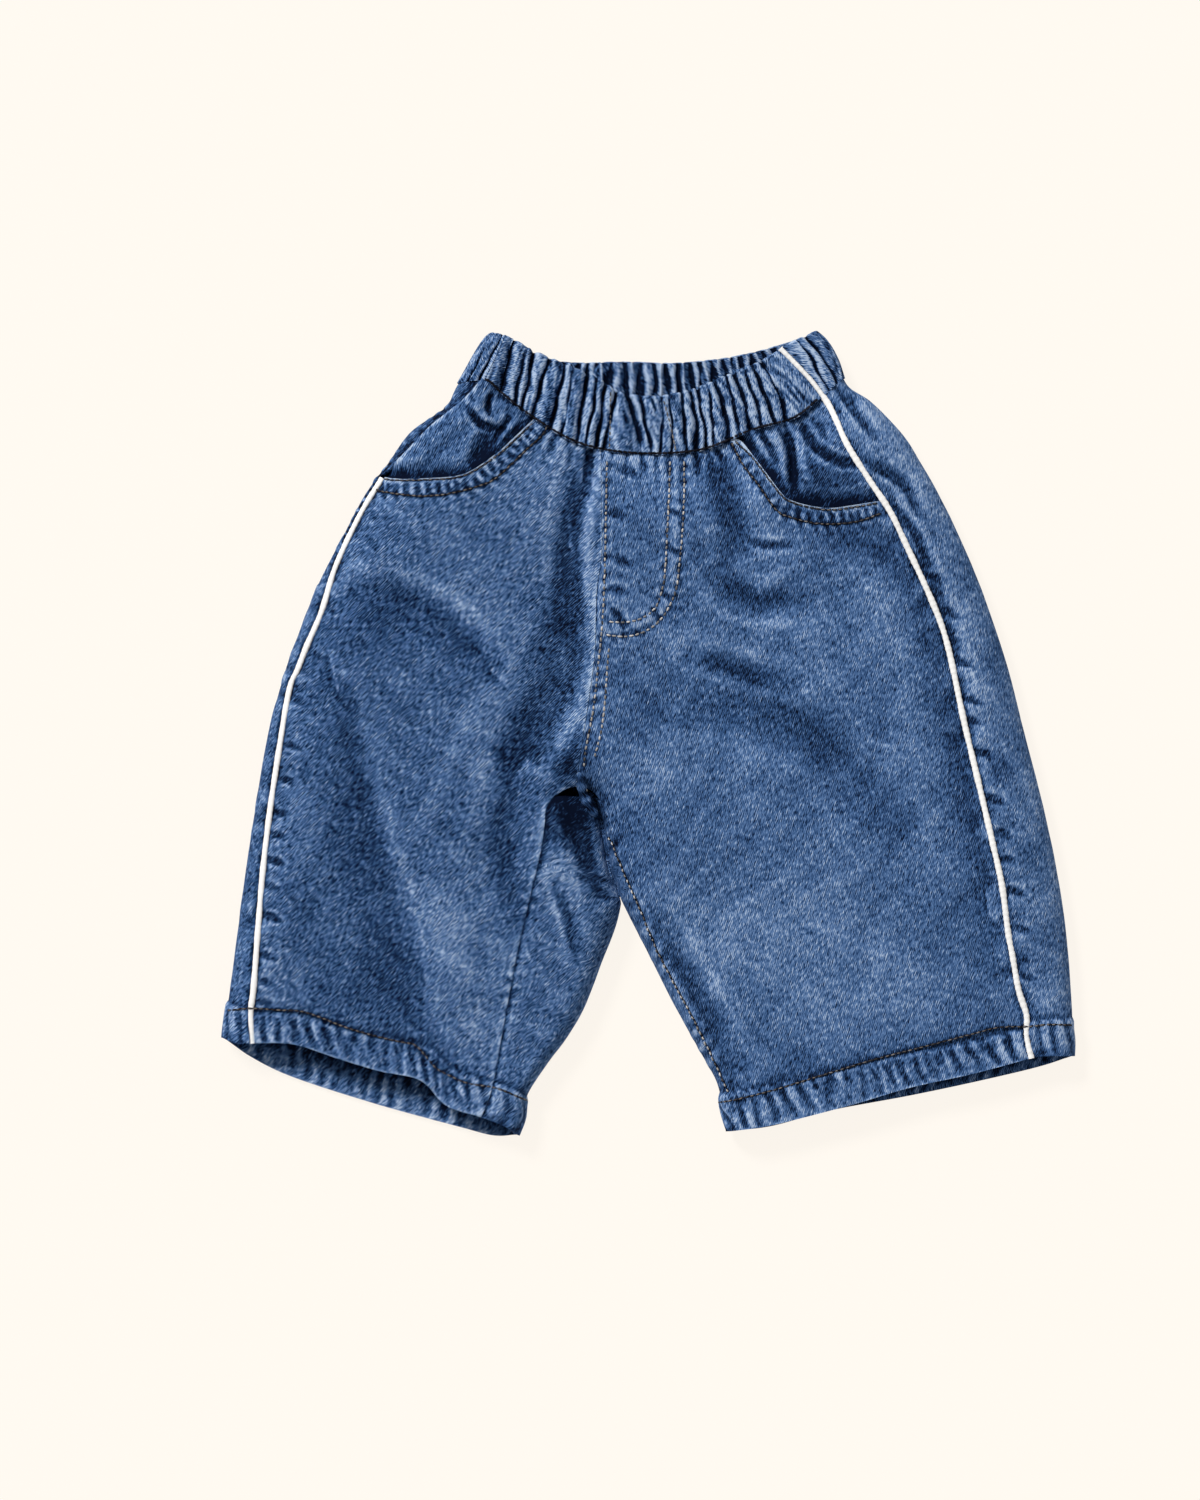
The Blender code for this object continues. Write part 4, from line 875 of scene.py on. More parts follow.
# ---- Waist casing ---------------------------------------------------------------------
# Valleys of the gathers: x on the top edge, x on the waist seam, depth, and half width
# at the top and at the seam.
FRONT_VALLEYS = [
    (-77.8, -86.8, 3.0, 1.9, 1.7), (-70.2, -77.5, 1.8, 1.3, 1.6),
    (-66.2, -73.3, 2.4, 1.3, 1.0), (-57.1, -68.0, 2.4, 0.9, 1.1),
    (-48.3, -56.6, 2.6, 1.1, 1.3), (-43.2, -50.5, 1.2, 1.0, 0.6),
    (-35.2, -41.8, 3.0, 1.5, 1.8), (-29.5, -36.6, 1.6, 1.0, 0.8),
    (-24.8, -30.9, 3.0, 1.3, 1.8), (-19.1, -26.6, 2.6, 1.0, 1.3),
    (-12.0, -3.0, 2.6, 1.4, 3.4), (-4.8, 1.6, 2.0, 1.2, 1.6),
    (7.5, 7.0, 1.2, 1.2, 0.6), (12.3, 13.0, 1.3, 0.6, 0.7),
    (18.6, 21.9, 1.8, 1.1, 1.3), (24.2, 28.6, 3.0, 1.6, 2.0),
    (28.0, 33.4, 2.6, 1.2, 1.4), (33.6, 38.0, 1.4, 0.8, 0.9),
    (38.5, 46.8, 2.4, 1.3, 1.6), (44.6, 52.4, 1.6, 1.0, 1.0),
    (48.6, 59.8, 3.0, 1.6, 2.0), (54.8, 65.5, 1.9, 1.1, 1.3),
    (58.9, 73.8, 2.2, 1.4, 1.2), (65.3, 81.2, 2.4, 1.4, 1.6),
]
# The same on the back casing's two ends, which show beside the front casing.
RIGHT_END_VALLEYS = [(-84.0, -97.8, 1.8, 1.0, 1.0), (-88.0, -104.5, 1.6, 0.9, 1.0)]
LEFT_END_VALLEYS = [(90.0, 109.4, 2.6, 1.6, 1.8), (85.0, 104.6, 1.4, 0.9, 0.9)]
# x of the valleys on the back casing's inner face, their depth and half width.
INSIDE_VALLEYS = [
    (-87.0, 1.4, 1.4), (-79.0, 1.6, 1.6), (-71.0, 1.3, 1.2), (-63.0, 1.7, 1.8),
    (-55.0, 1.4, 1.3), (-47.6, 1.7, 1.3), (-39.6, 1.5, 1.2), (-34.3, 1.7, 1.4),
    (-29.7, 1.3, 0.9), (-21.5, 1.8, 2.3), (-12.6, 1.5, 1.1), (-4.1, 1.8, 2.6),
    (3.5, 1.4, 1.0), (10.6, 1.8, 2.2), (16.6, 1.4, 1.0), (24.1, 1.7, 1.4),
    (29.2, 1.5, 1.1), (36.2, 1.8, 2.1), (43.5, 1.5, 1.2), (47.2, 1.3, 0.8),
    (52.4, 1.7, 1.4), (58.9, 1.8, 1.8), (65.1, 1.5, 1.2), (72.0, 1.7, 1.7),
    (79.5, 1.4, 1.2), (87.0, 1.6, 1.5), (94.0, 1.4, 1.2),
]


def gathers(around, v, table, wrinkle=0.32):
    """Height of gathered cloth, at places around the band and shares from seam to top.

    table: a valley's place at the top and at the seam, depth and two half widths. It is
    depth * exp(-(d / width)^1.7) deep; the cloth between two valleys arches by
    4 s (1 - s). Slanting wrinkles and lumps, as high as the wrinkle, lie over all.
    """
    top, seam, depth, top_width, seam_width = np.array(sorted(table, key=lambda r: r[1])).T
    number = np.arange(len(top))
    rows = []
    for share in v:
        wander = np.sin(6.0 * share + 2.4 * number) + 0.6 * np.sin(13.0 * share + number)
        place = seam + (top - seam) * share + 0.55 * wander
        place = np.maximum.accumulate(place)
        width = seam_width + (top_width - seam_width) * share
        gap = abs(around[:, None] - place) / (np.where(depth < 2.3, 1.15, 1.6) * width)
        vary = 1.0 + 0.40 * np.sin(5.0 * share + 1.7 * number)
        vary = vary + 0.20 * np.sin(11.0 * share + 2.9 * number)
        high = smooth_step((0.95 - share) / 0.35)
        low = smooth_step((share + 0.05) / 0.35)
        short = np.choose(number % 4, [1.0, high, 1.0, low])
        vary = vary * np.where(depth < 2.3, short, 1.0)
        valley = (vary * depth * np.exp(-gap ** 1.7)).max(axis=1)
        phase = np.interp(around, place, number.astype(float), -0.5, len(top) - 0.5)
        s = phase - np.floor(phase)
        arch = 1.8 * (4.0 * s * (1.0 - s) - 1.0) * np.interp(phase, number, depth) / 2.4
        w = around + 2.0 * share
        slant = np.sin(2 * math.pi * (w / 6.1 + 0.8 * share) + 1.6 * np.sin(w / 5.0))
        slant = slant * (0.5 + 0.5 * np.sin(3.1 * share + w / 4.3))
        small = np.sin(2 * math.pi * (w / 3.7 - 1.1 * share) + np.sin(w / 3.1))
        small = small * (0.5 + 0.5 * np.sin(5.3 * share + w / 6.1 + 1.0))
        lumps = np.sin(w / 2.3 + 9.0 * share) * np.sin(w / 7.7 + 6.0 * share + 2.0)
        rows.append(arch - valley + wrinkle * (slant + 0.6 * small + 0.8 * lumps))
    return np.stack(rows)


def by_place(table, columns_x, columns_u):
    """The table with its x turned into places around the band."""
    top_x, seam_x = columns_x
    order = np.argsort(seam_x)
    return [(np.interp(top, top_x[order], columns_u[order]),
             np.interp(seam, seam_x[order], columns_u[order]), depth, wide, wide_seam)
            for top, seam, depth, wide, wide_seam in table]


def casing(name, base, way, height, thickness, around, material):
    """Casing wall with a rounded fold along its top; rows run from seam to top."""
    outer = beyond(base[:-1], way[:-1], height)
    inner = beyond(base[:-1], way[:-1], height - thickness)
    turn = np.linspace(0.0, math.pi, 9)[1:-1]
    run = base[-1] - base[-2]
    reach = np.linalg.norm(run, axis=-1, keepdims=True)
    reach = reach + 0.35 * (height[-1] - height[-1].max())[:, None]
    middle, half = 0.5 * (outer[-1] + inner[-1]), 0.5 * (outer[-1] - inner[-1])
    fold = (middle[None] + np.cos(turn)[:, None, None] * half[None]
            + np.sin(turn)[:, None, None] * (unit(run) * reach)[None])
    ring = np.concatenate([outer, fold, inner[::-1]])
    count, columns = ring.shape[:2]
    index = np.arange(count * columns).reshape(count, columns)
    over = np.roll(index, -1, axis=0)
    faces = np.stack([index[:, :-1], index[:, 1:], over[:, 1:], over[:, :-1]], axis=2)
    # Painted shade in the valleys of the gathers, with faded crests.
    worn_and_shaded = band_wear_and_shade(height)
    worn_and_shaded = np.concatenate([worn_and_shaded, np.repeat(worn_and_shaded[-1:] + 0.25, len(turn), 0),
                           band_wear_and_shade(thickness - height)[::-1]])
    uv = np.broadcast_arrays(around[None], np.linspace(0.0, ROUND_BAND, count)[:, None])
    return body(name, ring.reshape(-1, 3), faces.reshape(-1, 4),
                np.stack(uv, axis=-1).reshape(-1, 2), worn_and_shaded.ravel(), material)


def band_wear_and_shade(height):
    """Crests are faded and the valleys of the gathers get painted shade, more than on the
    panels.
    """
    crest = height - blur(height, 11)
    crest = np.where(crest > 0, 0.45, 1.25) * crest
    fine = (height - blur(height, 3)) / 0.30
    across = np.arange(height.shape[1])
    lobes = 0.35 * np.sin(across / 9.7 + 1.0) * np.sin(across / 23.0 + 0.5)
    up = np.linspace(0.0, 1.0, len(height))[:, None]
    patches = 0.45 * np.sin(across / 6.1 + 5.0 * up) * np.sin(across / 15.3 + 3.0 * up)
    return np.clip(crest + 0.55 * fine + lobes + patches, -1.7, 1.2)


def band_lift(rows):
    """Height of a casing over the panels' base in its rows from the seam to the top."""
    share = np.linspace(0.02, 0.93, rows)
    return BAND_LIFT + (BAND_BULGE * np.sin(math.pi * share) ** 0.6)[:, None]


def front_band():
    """Base points, outward directions, height and place around of the front casing."""
    u = np.linspace(0.0, 1.0, FRONT_BAND_COLUMNS)
    v = np.append(np.linspace(0.0, 0.95, FRONT_BAND_ROWS), 1.0)
    seam = between(band_seam, 0, BAND_SIDE_RIGHT[-1][0], BAND_SIDE_LEFT[-1][0])
    top = between(band_top, 0, BAND_SIDE_RIGHT[0][0], BAND_SIDE_LEFT[0][0])
    xy = patch(beside(curve(BAND_SIDE_RIGHT)[::-1], -HALF_GAP),
               beside(curve(BAND_SIDE_LEFT)[::-1], PIPING_ROOM), seam, top, u, v)
    around = u * FRONT_BAND_LENGTH
    table = by_place(FRONT_VALLEYS, (xy[-1, :, 0], xy[0, :, 0]), around)
    return *upper(xy), band_lift(FRONT_BAND_ROWS) + gathers(around, v[:-1], table), around


def back_casing(material):
    """It wraps round both ends of the band and lies under the front casing."""
    v = np.append(np.linspace(0.0, 0.95, BACK_BAND_ROWS), 1.0)
    right_end = between(outer_right, 1, BAND_SEAM[0][1], BAND_TOP[0][1])
    left_end = between(outer_left, 1, BAND_SEAM[-1][1], BAND_TOP[-1][1])
    strips = [(beside(curve(side)[::-1], room), end,
               between(band_seam, 0, side[-1][0], end[0, 0]),
               between(band_top, 0, side[0][0], end[-1, 0]))
              for side, room, end in ((BAND_SIDE_RIGHT, HALF_GAP, right_end),
                                      (BAND_SIDE_LEFT, -PIPING_ROOM, left_end))]
    strips.insert(1, (right_end, left_end, back_seam, back_top))
    first, middle, last = BACK_BAND_STRIPS
    base, way = three_strips(strips, v,
                             (near_end(first), both_ends(middle), near_end(last)[::-1]))
    base, way = even_band(np.concatenate(base, 1), np.concatenate(way, 1),
                          BACK_BAND_COLUMNS)
    around = np.linspace(0.0, 1.0, base.shape[1]) * BACK_BAND_LENGTH
    right, left = base[0, :, 0].argmin(), base[0, :, 0].argmax()

    def placed(table, part):
        return by_place(table, [base[row, part, 0] for row in (-1, 0)], around[part])

    floor = slice(right, left)
    outside = [(x + 3.4, (x + 3.4) * BAND_FLARE, 1.0, wide, wide)
               for x, depth, wide in INSIDE_VALLEYS[:-1]]
    outside = (placed(RIGHT_END_VALLEYS, slice(right))
               + placed(LEFT_END_VALLEYS, slice(left, None)) + placed(outside, floor))
    inside = placed([(x, x * BAND_FLARE, depth, wide, wide)
                     for x, depth, wide in INSIDE_VALLEYS], floor)
    up = way[:-1, :, 2]
    on_top = smooth_step(0.5 + 0.9 * up)
    waves = np.minimum(gathers(around, v[:-1], outside), 0.0) * (0.35 + 0.65 * abs(up))
    hollow = np.minimum(gathers(around, v[:-1], inside, 0.10), 0.0) * (1.0 - on_top)
    return casing("back_band", base, way, band_lift(BACK_BAND_ROWS) * on_top + waves,
                  np.maximum(BAND_WALL + hollow, 0.9), around, material)


def even_band(base, way, columns):
    """Resample the band's rows at like lengths and turns, the same in every row."""
    gauge = from_zero((steps(base) + 8.0 * steps(way)).mean(0) + 1e-6)
    stops = np.linspace(0.0, gauge[-1], columns)
    return resample(base, way, [gauge] * len(base), [stops] * len(base))


# ---- Facings --------------------------------------------------------------------------
def facing(name, left, right, top, bottom, folds, material):
    """The cloth seen in a pocket's mouth; it runs on under the front panel's edge."""
    xy = patch(left, right, top, bottom, np.linspace(0.0, 1.0, FACING_COLUMNS),
               np.linspace(0.0, 1.0, FACING_ROWS))
    base, way = upper(xy)
    line = pocket_lines[name]
    from_mouth = nearest(xy, (line,))[0]
    from_seam = nearest(xy, (band_seam,))[0]
    inside = xy[..., 1] > np.interp(xy[..., 0], line[:, 0], line[:, 1])
    above = smooth_step(np.where(inside, from_mouth - 2.0, 0.0) / 9.0)
    height = -2.6 + 2.0 * above
    if name == "right_facing":
        over = smooth_step((nearest(xy, (pleat,))[0] - 6.0) / 8.0)
        height = height + above * (1.0 - over) * 2.8
    free = smooth_step(np.minimum(from_seam, from_mouth) / 8.0)
    height = height + relief(xy, FRONT_FOLDS) + relief(xy, folds) * free
    at_seam = (np.exp(-(from_seam / 4.0) ** 2)
               * smooth_step(np.where(inside, from_mouth, 0.0) / 4.0))
    height = height + 1.7 * (1.0 - above) * at_seam
    height = height + unevenness(xy, 2.0) - waist_pull(xy) * (1.0 - 0.7 * at_seam)
    return cloth_wall(name, base, way, height, np.full_like(height, DENIM), xy, material,
                      (FACING_EDGES, FACING_WASH_AND_SHADE, FACING_SHADES))


def crotch_seam(material):
    """The bundle of seam ends at the crotch: a short roll that tapers at both ends."""
    t = np.linspace(-1.0, 1.0, 40)
    girth = 2.7 * np.sqrt(np.clip(1.0 - t ** 4, 0.01, 1.0)) * (1 + 0.12 * np.sin(11.0 * t))
    place = np.broadcast_arrays(4.0 * turns(20), 12.0 * t[:, None])
    return tube("crotch_seam", curve(CROTCH_ROUTE, len(t)), (0.0, 0.0, 1.0), girth, 1.0,
                place, 0.9 * np.sin(11.0 * t) - 0.8, material)


# ---- Piping and thread ----------------------------------------------------------------
def turns(sides):
    """The angles of a ring's points."""
    return np.arange(sides) * 2 * math.pi / sides


def tube(name, centre, way, girth, flat, place, wear_and_shade, material):
    """A tube round a line, flattened in the direction given; place: its two UVs."""
    count, sides = place[0].shape
    run = unit(np.gradient(centre, axis=0))
    across = unit(np.cross(run, way))
    up = np.cross(across, run)
    ring = centre[:, None] + girth[:, None, None] * (
        np.cos(turns(sides))[None, :, None] * across[:, None]
        + flat * np.sin(turns(sides))[None, :, None] * up[:, None])
    index = np.arange(count * sides).reshape(count, sides)
    over = np.roll(index, -1, axis=1)
    faces = np.stack([index[:-1], index[1:], over[1:], over[:-1]], 2).reshape(-1, 4)
    return body(name, ring.reshape(-1, 3), faces, np.stack(place, -1).reshape(-1, 2),
                np.repeat(wear_and_shade, sides), material)


def piping(name, route, columns, material):
    """A round cord along a seam, half sunk between the two edges of cloth."""
    xy = at(route, np.linspace(0.0, 1.0, columns))
    base, way = upper(xy)
    rise = PIPING_RISE + 0.6 * relief(xy, FRONT_FOLDS) * clear_of_outline(xy)
    length = lengths(xy)
    waist = 0.10 * np.sin(2 * math.pi * length / STITCH_PITCH) \
        + 0.10 * np.sin(length / 5.3) + 0.08 * np.sin(length / 2.1 + 1.0)
    place = np.broadcast_arrays(length[:, None], 2.0 * turns(PIPING_SIDES))
    return tube(name, beyond(base, way, rise), way, PIPING_RADIUS + waist, PIPING_FLAT,
                place, waist, material)


def stitch_row(points, up, pitch=STITCH_PITCH, long=STITCH_LENGTH, thick=STITCH_WIDTH):
    """Middles, runs and ups of the stitches on a line of points over a surface."""
    both = np.concatenate([points, up], axis=1)
    where = lengths(points)
    middle = pitch * (np.arange(int(where[-1] // pitch)) + 0.5)
    spot, front, back = (read(both, where, middle + part * long)
                         for part in (0.0, 0.4, -0.4))
    return (spot[:, :3], (front - back)[:, :3], spot[:, 3:],
            np.tile([long, thick], (len(middle), 1)))


def double_row(line, thick, lift):
    """A black line of thread, and the dashes that lie on it."""
    return (stitch_row(*on_front(line, lift), long=3.7, thick=thick + 0.5),
            stitch_row(*on_front(line, lift + 0.45), long=2.3, thick=thick))


def on_front(line, lift=0.3):
    """A line of the plan laid on the front cloth."""
    base, way = upper(line)
    return beyond(base, way, front_height(line) + lift), way


def thread(name, rows, material):
    """Every stitch is a small capsule of thread that sinks at its two ends."""
    point, run, up, size = (np.concatenate(part) for part in zip(*rows))
    pick = np.random.default_rng(5)
    up = unit(up)
    run = unit(run - (run * up).sum(1, keepdims=True) * up * 0.5)
    run = unit(run + 0.10 * pick.normal(size=(len(run), 1)) * np.cross(up, run))
    side = np.cross(up, run)
    # Along a stitch: six stations from end to end, their girth and their height.
    stations = np.array([-1.0, -0.72, -0.25, 0.25, 0.72, 1.0])
    girth = np.array([0.35, 0.85, 1.0, 1.0, 0.85, 0.35])
    lift = np.array([-0.45, 0.05, 0.3, 0.3, 0.05, -0.45])
    long = 0.5 * size[:, :1] * (1 + 0.12 * pick.normal(size=(len(run), 1))) * stations
    thick = 0.5 * size[:, 1:] * girth
    rings = (point[:, None, None]
             + long[..., None, None] * run[:, None, None]
             + lift[None, :, None, None] * up[:, None, None]
             + thick[..., None, None] * (
                 np.cos(turns(6))[None, None, :, None] * side[:, None, None]
                 + 0.75 * np.sin(turns(6))[None, None, :, None] * up[:, None, None]))
    index = np.arange(rings[..., 0].size).reshape(rings.shape[:3])
    over = np.roll(index, -1, axis=2)
    faces = np.stack([index[:, :-1], index[:, 1:], over[:, 1:], over[:, :-1]],
                     axis=3).reshape(-1, 4)
    caps = np.concatenate([index[:, 0, [0, 1, 2, 3]], index[:, 0, [0, 3, 4, 5]],
                           index[:, -1, [3, 2, 1, 0]], index[:, -1, [5, 4, 3, 0]]])
    tone = np.repeat(pick.uniform(0.0, 1.0, len(run)), index[0].size)
    uv = np.stack([tone * 5.0, tone * 3.0], axis=1)
    return body(name, rings.reshape(-1, 3), np.vstack([faces, caps]), uv, tone, material)


# ---- Materials ------------------------------------------------------------------------
class Value:
    """A shader socket that adds and multiplies as a number does."""

    def __init__(self, graph, socket):
        self.graph = graph
        self.socket = socket

    def __add__(self, other):
        return self.graph.math("ADD", self, other)

    def __sub__(self, other):
        return self.graph.math("SUBTRACT", self, other)

    def __mul__(self, other):
        return self.graph.math("MULTIPLY", self, other)

    def __rsub__(self, other):
        return self.graph.math("SUBTRACT", other, self)

    __radd__ = __add__
    __rmul__ = __mul__


class Graph:
    """A material and its node tree."""

    def __init__(self, name, roughness):
        self.material = bpy.data.materials.new(name)
        self.material.use_nodes = True
        self.tree = self.material.node_tree
        self.shader = self.tree.nodes["Principled BSDF"]
        self.shader.inputs["Roughness"].default_value = roughness
        self.shader.inputs["Metallic"].default_value = 0.0
        self.shader.inputs["Specular IOR Level"].default_value = 0.06

    def node(self, kind, output, settings=None, **inputs):
        """A node with its settings and inputs; underscores in names are spaces."""
        made = self.tree.nodes.new(kind)
        for name, value in (settings or {}).items():
            setattr(made, name, value)
        for name, value in inputs.items():
            self.feed(made.inputs[name.replace("_", " ")], value)
        return Value(self, made.outputs[output])

    def feed(self, socket, value):
        """Links a value into a socket, or sets a plain number or vector on it."""
        if isinstance(value, Value):
            self.tree.links.new(value.socket, socket)
        else:
            socket.default_value = value

    def math(self, operation, first, second):
        made = self.tree.nodes.new("ShaderNodeMath")
        made.operation = operation
        for socket, value in zip(made.inputs, (first, second)):
            self.feed(socket, value)
        return Value(self, made.outputs[0])

    def ramp(self, factor, stops):
        """Colours between the stops, each at its place from 0 to 1."""
        made = self.tree.nodes.new("ShaderNodeValToRGB")
        self.feed(made.inputs["Fac"], factor)
        ramp = made.color_ramp
        while len(ramp.elements) < len(stops):
            ramp.elements.new(0.5)
        for element, (place, colour) in zip(ramp.elements, stops):
            element.position = place
            element.color = (*colour, 1.0)
        return Value(self, made.outputs["Color"])

    def noise(self, place, scale, detail=2.0, roughness=0.6):
        return self.node("ShaderNodeTexNoise", "Fac", None, Vector=place, Scale=scale,
                         Detail=detail, Roughness=roughness)

    def cloth_place(self, turn, stretch):
        """UV in metres, turned and then drawn out along its second axis."""
        uv = self.node("ShaderNodeUVMap", "UV")
        return self.node("ShaderNodeMapping", "Vector", {"vector_type": "TEXTURE"},
                         Vector=uv, Rotation=(0.0, 0.0, turn), Scale=(1.0, stretch, 1.0))

    def finish(self, colour, height, distance, strength):
        """The material, with its colour and the fine bump of its threads."""
        self.feed(self.shader.inputs["Base Color"], colour)
        bump = self.node("ShaderNodeBump", "Normal", None, Height=height,
                         Distance=distance, Strength=strength)
        self.feed(self.shader.inputs["Normal"], bump)
        return self.material


TWILL_PITCH = 0.00105  # metres from one line of the twill to the next
TWILL_SCALE = 2 * math.pi / (20.0 * TWILL_PITCH)  # a wave is 2 pi / (20 * scale) long
# Painted shade also takes the colour down to this ramp's darkest stops.
INDIGO = [(0.0, (0.001, 0.004, 0.016)), (0.26, (0.015, 0.046, 0.130)),
          (0.50, (0.054, 0.121, 0.273)), (0.74, (0.128, 0.224, 0.428)),
          (1.0, (0.400, 0.505, 0.670))]  # from unworn to washed out


def denim(name, lean, brightness=0.0, wear_and_shade_strength=0.26, contrast=1.0, patches=0.0):
    """Washed indigo twill: mottled, flecked along the twill, faded where it is worn and
    darkened by the painted shade in its attribute.
    """
    graph = Graph(name, 0.88)
    plain = graph.cloth_place(0.0, 1.0)
    twill = graph.cloth_place(lean, 6.0)
    mottle = graph.noise(plain, 340.0, 1.0, 0.6)
    fleck = graph.noise(twill, 1500.0, 1.0, 0.6)
    grain = graph.noise(graph.cloth_place(lean, 2.6), 1100.0, 1.0, 0.7)
    broad = graph.noise(plain, 24.0, 3.0, 0.5)
    lines = graph.node("ShaderNodeTexWave", "Fac", {"bands_direction": "X"},
                       Distortion=2.5, Vector=graph.cloth_place(lean, 1.0),
                       Scale=TWILL_SCALE, Detail=1.0)
    # Real wear and painted shade both come in through this attribute.
    wear_and_shade = graph.node("ShaderNodeAttribute", "Fac", {"attribute_name": "wear_and_shade"})
    tone = 0.435 + brightness + wear_and_shade * wear_and_shade_strength + (mottle - 0.5) * (0.5 * contrast)
    tone = tone + (fleck - 0.5) * (1.9 * contrast) + (grain - 0.5) * (0.9 * contrast)
    tone = tone + (broad - 0.5) * 0.4 + (lines - 0.5) * 0.30
    if patches:
        blots = graph.noise(graph.cloth_place(0.0, 2.2), 330.0, 1.0, 0.5)
        tone = tone + (blots - 0.5) * patches
    colour = graph.ramp(tone, INDIGO)
    return graph.finish(colour, fleck + mottle * 0.5, 0.0003, 0.6)


def piping_cloth():
    graph = Graph("piping_cloth", 0.7)
    place = graph.cloth_place(0.5, 2.0)
    weave = graph.noise(place, 900.0, 2.0)
    soil = graph.noise(graph.cloth_place(0.0, 1.0), 120.0, 2.0)
    tone = 0.5 + (weave - 0.5) * 0.7 + (soil - 0.5) * 0.7
    colour = graph.ramp(tone, [(0.0, (0.66, 0.66, 0.65)), (0.45, (0.90, 0.895, 0.88)),
                               (1.0, (0.97, 0.965, 0.95))])
    return graph.finish(colour, weave, 0.0004, 0.5)


def thread_colour(name, dark, light):
    graph = Graph(name, 0.6)
    tone = graph.node("ShaderNodeAttribute", "Fac", {"attribute_name": "wear_and_shade"})
    twist = graph.noise(graph.cloth_place(0.6, 1.0), 2500.0, 1.0)
    colour = graph.ramp(tone * 0.7 + twist * 0.3, [(0.1, dark), (0.9, light)])
    return graph.finish(colour, twist, 0.0002, 0.4)


def floor_cloth():
    graph = Graph("floor_paper", 0.9)
    cream = (1.0, 0.946, 0.874, 1.0)
    graph.shader.inputs["Emission Color"].default_value = cream
    graph.shader.inputs["Emission Strength"].default_value = 0.93
    grain = graph.noise(graph.node("ShaderNodeTexCoord", "Object"), 3.0, 1.0)
    colour = graph.ramp(grain, [(0.0, (0.074, 0.070, 0.065)),
                                (1.0, (0.078, 0.074, 0.068))])
    graph.feed(graph.shader.inputs["Base Color"], colour)
    return graph.material


# ---- Tables of sewn lines and creases -------------------------------------------------
fly_inner = curve([(12.5, 158.3), (11.9, 138.6), (10.7, 114.8), (9.6, 95.7), (8.4, 85.8),
                   (4.3, 73.7), (-3.2, 67.3), (-13.1, 64.6), (-25.2, 65.0)])
fly_outer = curve([(20.6, 158.3), (20.6, 138.6), (19.4, 114.8), (17.5, 95.7),
                   (16.0, 84.1), (12.2, 74.2), (6.4, 65.5), (-2.3, 59.2), (-13.1, 56.3),
                   (-25.8, 57.4)])
centre_near = curve([(-24.1, 158.3), (-24.9, 114.8), (-25.8, 81.2), (-27.3, 57.4),
                     (-29.3, 38.3), (-32.0, 14.0), (-36.5, -10.0), (-37.5, -22.0)])
centre_far = curve([(-23.0, 50.0), (-26.4, 8.1), (-31.6, -15.1)])
pocket_right_near = curve([(-152.4, 147.2), (-144.1, 146.6), (-129.8, 146.9),
                           (-107.2, 149.2), (-88.4, 160.4), (-78.4, 169.2),
                           (-66.8, 180.4)])
pocket_right_far = curve([(-157.6, 141.2), (-146.5, 138.9), (-134.3, 137.6),
                          (-122.7, 137.9), (-111.1, 139.8), (-98.3, 143.3),
                          (-89.6, 147.0), (-79.2, 156.0), (-70.5, 164.7),
                          (-61.2, 173.4), (-58.6, 179.2)])
pocket_left_near = curve([(50.2, 169.5), (59.6, 160.6), (67.9, 149.6), (75.7, 139.2),
                          (81.2, 134.7), (92.0, 131.2), (105.3, 129.5), (118.3, 131.0),
                          (134.5, 133.8)])
pocket_left_far = curve([(48.0, 168.8), (55.1, 155.2), (63.5, 144.1), (73.8, 129.6),
                         (82.1, 125.3), (96.6, 121.8), (109.3, 121.5), (122.1, 123.2),
                         (136.3, 128.3)])
inseam_right_near = curve([(-22.9, -59.2), (-14.2, -81.2), (-5.5, -100.3), (7.2, -130.5),
                           (29.9, -172.8), (47.9, -211.7), (52.3, -228.0)])
hem_right_stitch = curve([(-242.7, -160.4), (-230.0, -158.9), (-214.3, -159.8),
                          (-201.8, -160.4), (-191.1, -163.6), (-181.2, -167.6),
                          (-171.4, -171.1), (-156.9, -175.2), (-144.7, -178.1),
                          (-134.9, -180.4), (-128.5, -187.3), (-122.7, -193.7),
                          (-114.0, -198.4), (-104.1, -202.4), (-91.9, -204.2),
                          (-83.2, -206.8), (-71.0, -212.3)])
hem_left_stitch = curve([(42.1, -213.4), (53.1, -211.1), (73.4, -205.9),
                         (101.8, -197.2), (130.8, -188.5), (159.8, -181.0),
                         (188.8, -173.4), (202.7, -169.9), (220.1, -169.4),
                         (231.7, -168.2), (245.0, -168.8)])
BAND_STITCHES = (-22.0, 12.6)  # x of the two lines sewn up the casing
SEWN_LINES = [
    (fly_inner, 0.35, 0.28, 9.0, 4.0), (fly_outer, 0.35, 0.30, 8.0, 4.5),
    (centre_near, 0.35, 0.45, 8.5, 4.0), (pocket_right_near, 0.3, 0.35, 7.0, 3.0),
    (pocket_right_far, 0.35, 0.60, 7.0, 3.8), (pocket_left_near, 0.3, 0.35, 7.0, 3.0),
    (pocket_left_far, 0.35, 0.60, 7.0, 3.8), (inseam_right_near, 0.35, 0.45, 11.0, 5.0),
    (curve(OUTER_RIGHT[4:11]), 0.0, 0.3, 6.5, 4.5), (side_right, 0.0, 0.55, 21.0, 9.0),
    (side_left, 0.0, 0.60, 24.0, 10.0), (inseam_right, 0.4, 0.35, 10.0, 4.0),
]
